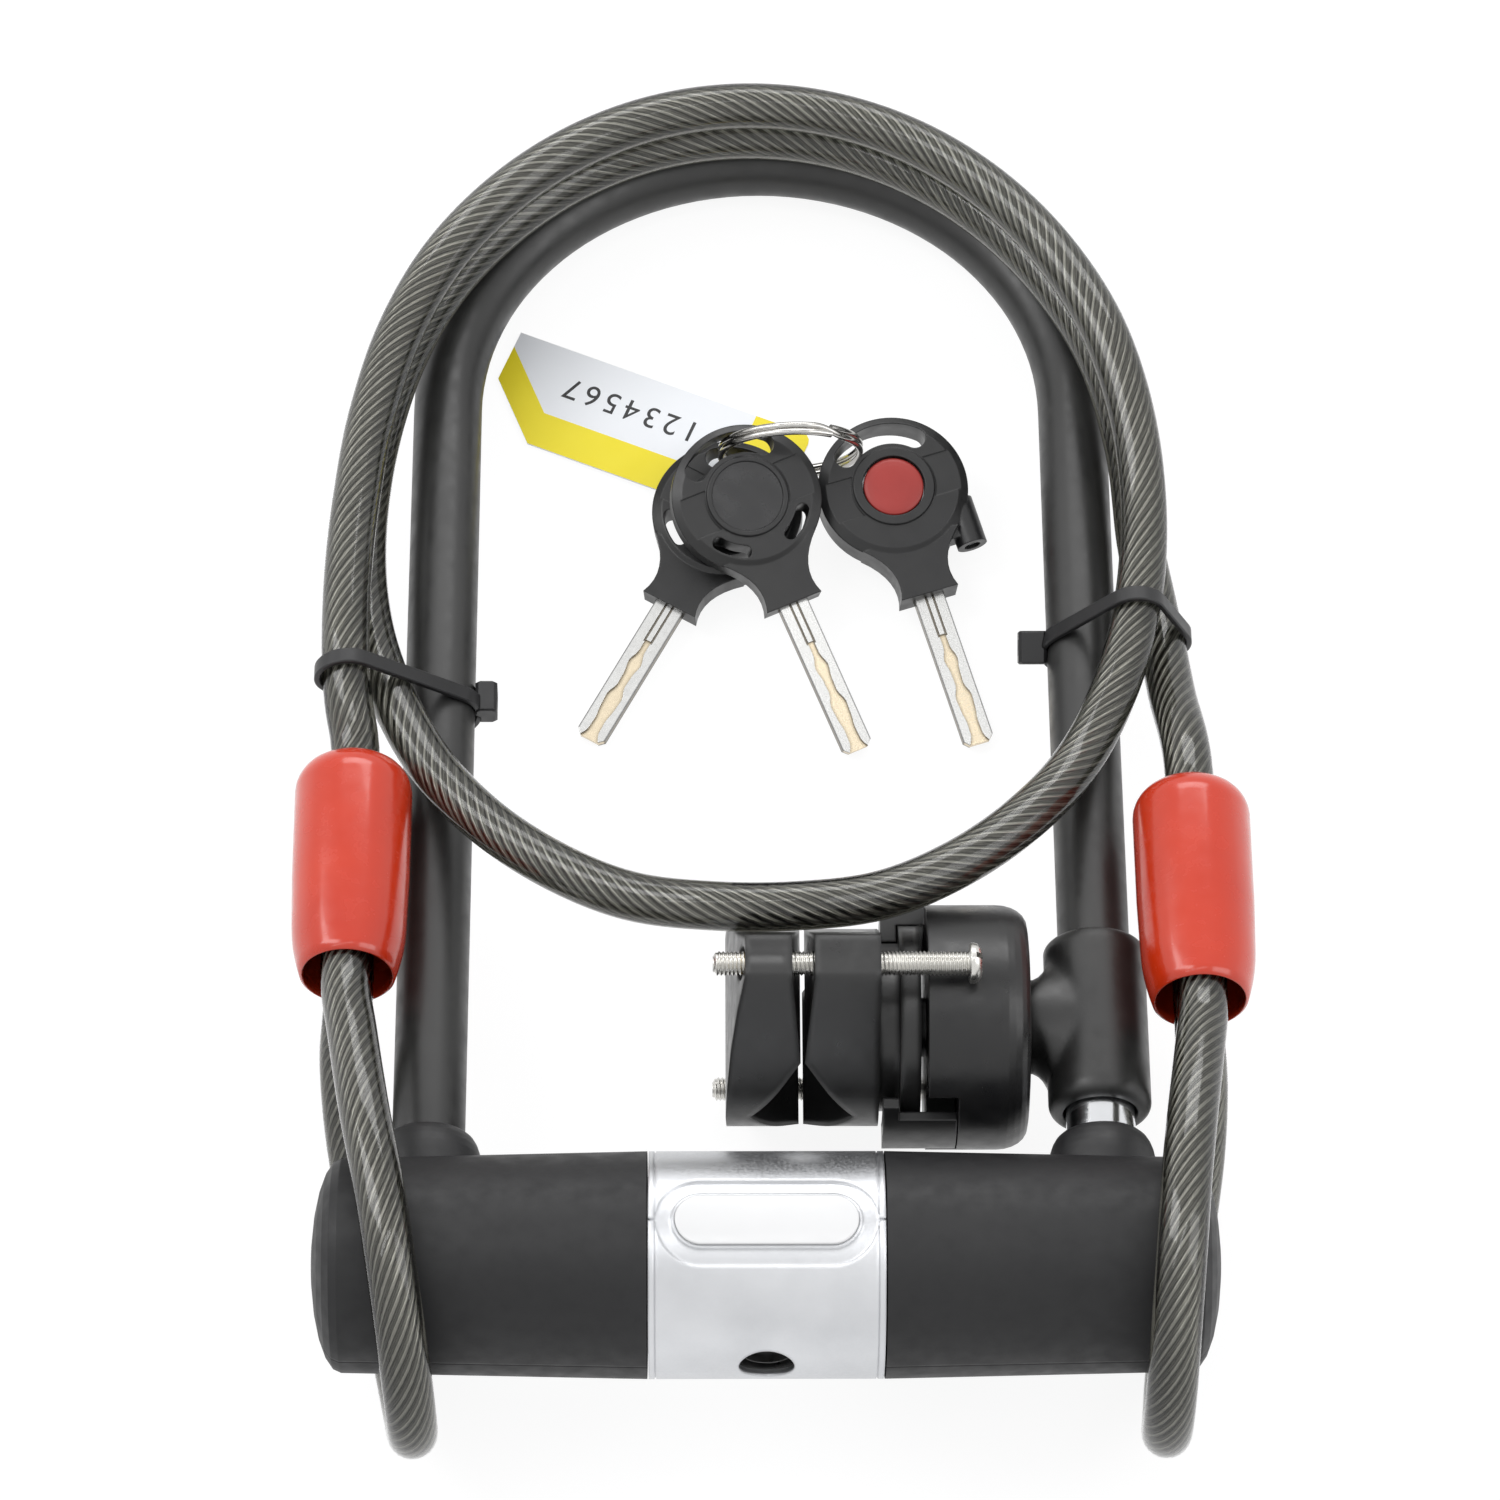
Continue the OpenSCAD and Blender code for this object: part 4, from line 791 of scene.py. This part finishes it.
def cable(name, route, node, looks):
    """A clear jacket with a twisted rope inside it, along one route."""
    line = smooth_route(route, CABLE_STEP)
    jacket = []
    rope = []
    uvs = []
    rope_sides = STRANDS * POINTS_PER_STRAND
    along = 0
    for i, (point, (a, b)) in enumerate(zip(line, carried_frames(line))):
        along += (point - line[i - 1]).length if i else 0
        jacket += [point + CABLE_R * (c * a + s * b) for c, s in around(JACKET_SIDES)]
        for k in range(rope_sides):
            t = TURN * (k / rope_sides + along / ROPE_PITCH)
            bulge = abs(math.sin(math.pi * k / POINTS_PER_STRAND))
            r = ROPE_R - ROPE_FLUTE * (1 - bulge)
            rope.append(point + r * (math.cos(t) * a + math.sin(t) * b))
            uvs.append((along / UV_LENGTH, k / POINTS_PER_STRAND))
    faces = tube_faces(len(line), JACKET_SIDES)
    outer = len(faces)
    faces += tube_faces(len(line), rope_sides, len(jacket))
    slots = [0] * outer + [1] * (len(faces) - outer)
    made = piece(name, jacket + rope, faces, [looks["jacket"], looks["rope"]], "lock", LOCK, True, slots)
    wrap_uvs(made.data, [(0, 0)] * len(jacket) + uvs)
    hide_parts(node)
    return made, [LOCK @ p for p in line]


def make_cables(looks, sleeves):
    coil, path = cable("cable_loops", LEFT_LEAD + loop_points() + RIGHT_LEAD, "cable_coil", looks)
    for side, route, length in EYES:
        eye, path = cable(side + "_cable_eye", route, side + "_eye", looks)


# Clamp screws, along X of the clamp
SCREW_R = 2.5
SCREW_FROM = -10.5
SCREW_LEN = 51
SCREW_DIST = 29.5
SCREW_SIDES = 20
THREAD_PITCH = 0.8
THREAD_DEPTH = 0.42
THREAD_ROWS = 6
TIP_RUN = 0.8
SCREW_HEAD_R = 4.1
SCREW_HEAD_T = 2.6
HEAD_BEVEL = 0.3
HEAD_RIM = 0.9
HEAD_DOME_DEGREES = (20, 40, 60, 80)
HEAD_DOME_POWER = 0.55
HEAD_SIDES = 40
SCREW_SLOT = 1.1
SCREW_SLOT_DEPTH = 1.3
CROSS_HALF = 2.3
SCREW_SHARP = 35


def screw_shaft(height):
    points = []
    rows = round(SCREW_LEN / THREAD_PITCH * THREAD_ROWS) + 1
    for i in range(rows):
        along = SCREW_LEN * i / (rows - 1)
        for k in range(SCREW_SIDES):
            turn = k / SCREW_SIDES
            ridge = 1 - abs(2 * ((along / THREAD_PITCH - turn) % 1) - 1)
            r = SCREW_R - THREAD_DEPTH * (1 - ridge) - max(0, TIP_RUN - along)
            t = TURN * turn
            points.append(Vector((SCREW_FROM + along, r * math.cos(t), height + r * math.sin(t))))
    return points, tube_faces(rows, SCREW_SIDES)


def screw_head(height):
    """A domed head with a slot across it and a cross in the middle."""
    start = SCREW_FROM + SCREW_LEN
    end = start + SCREW_HEAD_T
    rim = start + HEAD_RIM
    profile = [(start, SCREW_HEAD_R - HEAD_BEVEL), (start + HEAD_BEVEL, SCREW_HEAD_R), (rim, SCREW_HEAD_R)]
    for degrees in HEAD_DOME_DEGREES:
        t = math.radians(degrees)
        x = rim + (SCREW_HEAD_T - HEAD_RIM) * math.sin(t)
        profile.append((x, SCREW_HEAD_R * math.cos(t) ** HEAD_DOME_POWER))
    points = []
    for x, r in profile:
        points += [Vector((x, r * c, height + r * s)) for c, s in around(HEAD_SIDES)]
    dome = points, tube_faces(len(profile), HEAD_SIDES)
    floor = end - SCREW_SLOT_DEPTH
    half = SCREW_SLOT / 2
    reach = 2 * SCREW_HEAD_R
    slot = block((floor, -half, height - reach), (end + CUT_PAST, half, height + reach))
    cross = block((floor, -CROSS_HALF, height - half), (end + CUT_PAST, CROSS_HALF, height + half))
    return carved(dome, [slot, cross])


def make_screws(looks):
    parts = []
    for height in (-SCREW_DIST, SCREW_DIST):
        parts += [screw_shaft(height), screw_head(height)]
    points, faces = joined(parts)
    made = piece("clamp_screw_pair", points, faces, looks["zinc"], "clamp", CLAMP)
    by_angle(made, SCREW_SHARP)
    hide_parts("clamp_screws")


# Split ring: two turns of wire side by side, with a step between them
RING_SIDE = 0.71
RING_START = 56
RING_STEP_RUN = 30
RING_TURN_STEPS = 120
WIRE_SIDES = 12
RING_SHARP = 40


def make_ring(looks):
    line = []
    for i in range(2 * RING_TURN_STEPS + 1):
        degrees = 360 * i / RING_TURN_STEPS
        s = min(1, max(0, (degrees - 360) / RING_STEP_RUN + 0.5))
        side = RING_SIDE * (2 * eased(s) - 1)
        t = math.radians(RING_START + degrees)
        line.append(Vector((RING_R * math.cos(t), side, RING_R * math.sin(t))))
    points = []
    for at, (a, b) in zip(line, carried_frames(line)):
        points += [at + WIRE_R * (c * a + s * b) for c, s in around(WIRE_SIDES)]
    made = piece("wire_ring", points, tube_faces(len(line), WIRE_SIDES), looks["ring_wire"], "lock", RING)
    by_angle(made, RING_SHARP)
    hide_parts("split_ring")


# Cable ties: each bundle is a list of places and radii across the legs
TIE_CLEAR = 0.2
TIE_T = 1.3
TIE_W = 3.4
TIE_EDGE = 0.25
TIE_HEAD = (7.0, 6.0)
TIE_HEAD_EDGE = 0.7
TIE_TAIL = 1.6
TIE_RECESS = 0.8
TIE_SHARP = 35
TIES = {
    "left_tie": {"v": 131, "head_x": -57.8, "head_v": 132.6, "head_w": 4.6, "tilt": 6, "slope": 0.11,
                 "bundle": [(-67.5, 0, 7.35), (-86.2, 19, 5), (-78.2, 10.8, 5)]},
    "right_tie": {"v": 146, "head_x": 57.1, "head_v": 146, "head_w": 6, "tilt": 32, "slope": 0,
                  "bundle": [(67.5, 0, 7.35), (78.2, 14.8, 5), (84, 3.8, 5)]},
}
CIRCLE_STEPS = 90


def bundle_outline(bundle, grow):
    """The line of a strap pulled round the bundle, with its outward directions."""
    spots = []
    for x, z, r in bundle:
        spots += [Vector((x + (r + grow) * c, z + (r + grow) * s)) for c, s in around(CIRCLE_STEPS)]
    ring = [spots[i] for i in convex_hull_2d(spots)]
    outs = []
    for i in range(len(ring)):
        along = ring[(i + 1) % len(ring)] - ring[i - 1]
        outs.append(Vector((along.y, -along.x)).normalized())
    return ring, outs


def strap(tie):
    """The strap round the bundle, sloping along the legs away from its head."""
    ring, outs = bundle_outline(tie["bundle"], TIE_CLEAR)
    half = TIE_W / 2
    section = [(half - TIE_EDGE, 0), (half, TIE_EDGE), (half, TIE_T - TIE_EDGE), (half - TIE_EDGE, TIE_T),
               (TIE_EDGE - half, TIE_T), (-half, TIE_T - TIE_EDGE), (-half, TIE_EDGE), (TIE_EDGE - half, 0)]
    points = []
    for at, out in zip(ring, outs):
        for across, high in section:
            spot = at + out * high
            slid = tie["v"] + tie["slope"] * (spot.x - tie["head_x"])
            points.append(Vector((spot.x, slid + across, spot.y)))
    return points, closed_faces(len(ring), len(section))


def edged_block(size, edge):
    """A block with its long edges cut, its length along Y."""
    x, y, z = (side / 2 for side in size)
    outline = [(x - edge, z), (x, z - edge), (x, edge - z), (x - edge, -z), (edge - x, -z), (-x, edge - z),
               (-x, z - edge), (edge - x, z)]
    rows = ((-y, edge / 2), (edge / 2 - y, 0), (y - edge / 2, 0), (y, edge / 2))
    points = []
    for at, shrink in rows:
        for a, b in outline:
            points.append(Vector((a - math.copysign(shrink, a), at, b - math.copysign(shrink, b))))
    return points, tube_faces(len(rows), len(outline))


def tie_head(tie):
    """The ratchet head with a recess in its outer end and the cut tail of the strap below."""
    long, high = TIE_HEAD
    half = TIE_W / 2
    out = -math.copysign(1, tie["head_x"])
    ends = sorted(out * (tie["head_w"] / 2 + reach) for reach in (-TIE_RECESS, CUT_PAST))
    recess = block((ends[0], -half, -TIE_T), (ends[1], half, TIE_T))
    head = carved(edged_block((tie["head_w"], long, high), TIE_HEAD_EDGE), [recess])
    tail = block((-TIE_T / 2, TIE_EDGE - half, -high / 2 - TIE_TAIL), (TIE_T / 2, half - TIE_EDGE, 0))
    points, faces = joined([head, tail])
    spin = turned(tie["tilt"], "X").to_3x3()
    at = Vector((tie["head_x"], tie["head_v"], 0))
    return [at + spin @ point for point in points], faces


def make_ties(looks):
    for node, tie in TIES.items():
        points, faces = joined([strap(tie), tie_head(tie)])
        made = piece(node + "_strap", points, faces, looks["tie"], "lock", LOCK)
        by_angle(made, TIE_SHARP)
        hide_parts(node)


# Card tag: its outline, with the printed bands inside it
TAG_HALF = 12.5
TAG_T = 0.5
TAG_HOLE = (-7.8, 0)
TAG_HOLE_R = 3.8
HOLE_STEPS = 32
INSIDE_HOLE = 0.98
TAG_CORNER = 2.2
CORNER_DEGREES = (0, 30, 60, 90)
BAND_TOP = -4.2
BAND_CUT = -60.8
BAND_END = -13.2
KEEP_INSIDE = 1
MERGE_DIST = 1e-5
TAG_DIGITS = "1234567"
DIGIT_SIZE = 7.3
DIGIT_PITCH = 4.7
DIGIT_START = -25
DIGIT_LINE = 3.8
INK_LIFT = 0.02


def tag_outline():
    points = []
    for sign in (-1, 1):
        for degrees in CORNER_DEGREES[::sign]:
            t = math.radians(degrees)
            y = TAG_HALF + TAG_CORNER * (math.sin(t) - 1)
            points.append((TAG_CORNER * (math.cos(t) - 1), sign * y))
    return points + [(-TAG_LEN, TAG_HALF), (-TAG_LEN, BAND_CUT + TAG_LEN), (-TAG_LEN, 0),
                     (TAG_HALF - TAG_LEN, -TAG_HALF)]


def in_band(x, y):
    return y < BAND_TOP or x + y < BAND_CUT or x > BAND_END


def tag_face():
    """Points of the card's face, its faces and the slot of each: 0 for card, 1 for band."""
    outline = tag_outline()
    hole = [(TAG_HOLE[0] + TAG_HOLE_R * c, TAG_HOLE[1] + TAG_HOLE_R * s) for c, s in around(HOLE_STEPS)]
    band = [(-TAG_LEN, BAND_CUT + TAG_LEN), (BAND_CUT - BAND_TOP, BAND_TOP), (BAND_END, BAND_TOP),
            (BAND_END, TAG_HALF)]
    spots = [Vector(p) for p in outline + hole + band]
    first = len(outline)
    second = first + len(hole)
    edges = [(i, (i + 1) % first) for i in range(first)]
    edges += [(first + i, first + (i + 1) % len(hole)) for i in range(len(hole))]
    edges += [(second + i, second + i + 1) for i in range(len(band) - 1)]
    flat, _, faces, *_ = delaunay_2d_cdt(spots, edges, [tuple(range(first))], KEEP_INSIDE, MERGE_DIST)
    kept = []
    slots = []
    for face in faces:
        middle = sum((flat[i] for i in face), Vector((0, 0))) / len(face)
        if (middle - Vector(TAG_HOLE)).length >= TAG_HOLE_R * INSIDE_HOLE:
            kept.append(tuple(face))
            slots.append(1 if in_band(*middle) else 0)
    return flat, kept, slots


def make_tag(looks):
    flat, kept, slots = tag_face()
    count = len(flat)
    points = [Vector((p.x, p.y, TAG_T)) for p in flat] + [Vector((p.x, p.y, 0)) for p in flat]
    under = [tuple(i + count for i in reversed(face)) for face in kept]
    sides = [(a + count, b + count, b, a) for a, b in rim_edges(kept)]
    made = piece("tag_card", points, kept + under + sides, [looks["card"], looks["band"]], "tag", TAG, False,
                 slots + [0] * (len(under) + len(sides)))
    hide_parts("key_tag")


def make_digits(looks):
    """Plain digits, upside down on the card."""
    points = []
    faces = []
    for i, digit in enumerate(TAG_DIGITS):
        text = bpy.data.curves.new("digit", "FONT")
        text.body = digit
        text.size = DIGIT_SIZE
        text.align_x = "CENTER"
        text.align_y = "CENTER"
        source = bpy.data.objects.new("digit", text)
        mesh = bpy.data.meshes.new_from_object(source)
        start = len(points)
        middle = DIGIT_START - i * DIGIT_PITCH
        points += [Vector((middle - v.co.x, DIGIT_LINE - v.co.y, TAG_T + INK_LIFT)) for v in mesh.vertices]
        faces += [tuple(start + k for k in face.vertices) for face in mesh.polygons]
        bpy.data.objects.remove(source)
        bpy.data.meshes.remove(mesh)
        bpy.data.curves.remove(text)
    made = piece("tag_digits", points, faces, looks["ink"], "tag", TAG, False)


# Materials of the frame's own solids
NODE_LOOKS = {
    "cover": ["left_cover", "right_cover"],
    "cuff": ["left_cuff", "right_cuff"],
    "collar": ["key_collar"],
    "grip": ["grip_pad"],
    "coating": ["shackle_coating"],
    "shackle_steel": ["shackle_bar"],
    "carrier": ["leg_carrier"],
    "bracket": ["clamp_base", "clamp_jaw"],
    "bracket_head": ["release_head", "release_latch"],
    "zinc": ["carrier_screw", "clamp_screws"],
    "brass": ["clamp_inserts", "wafers"],
    "keyway": ["lock_plug", "cylinder_housing"],
    "steel_dark": ["crossbar_tube", "tube_end_plates", "collar_core", "bolt_guides"],
    "hard_steel": ["left_bolt", "right_bolt", "drive_cam", "light_cell"],
    "crimp": ["left_crimp", "right_crimp"],
    "sleeve": ["left_sleeve", "right_sleeve"],
    "tie": ["left_tie", "right_tie"],
    "ring_wire": ["split_ring"],
    "card": ["key_tag"],
    "key_head": ["front_key_head", "rear_key_head", "light_key_head"],
    "key_cap": ["front_key_cap", "rear_key_cap"],
    "button": ["light_button"],
    "lens": ["light_lens"],
}


def dress_nodes(looks):
    wanted = {name: looks[look] for look, names in NODE_LOOKS.items() for name in names}
    for name, row in BLADES.items():
        wanted[name] = blade_look(name, *row)
    for name, look in wanted.items():
        nodes[name].data.materials.clear()
        nodes[name].data.materials.append(look)


make_camera()
make_world()
make_floor()
make_lamps()
looks = make_looks()
dress_nodes(looks)
make_cables(looks, make_sleeves(looks))
make_screws(looks)
make_ring(looks)
make_ties(looks)
make_tag(looks)
make_digits(looks)
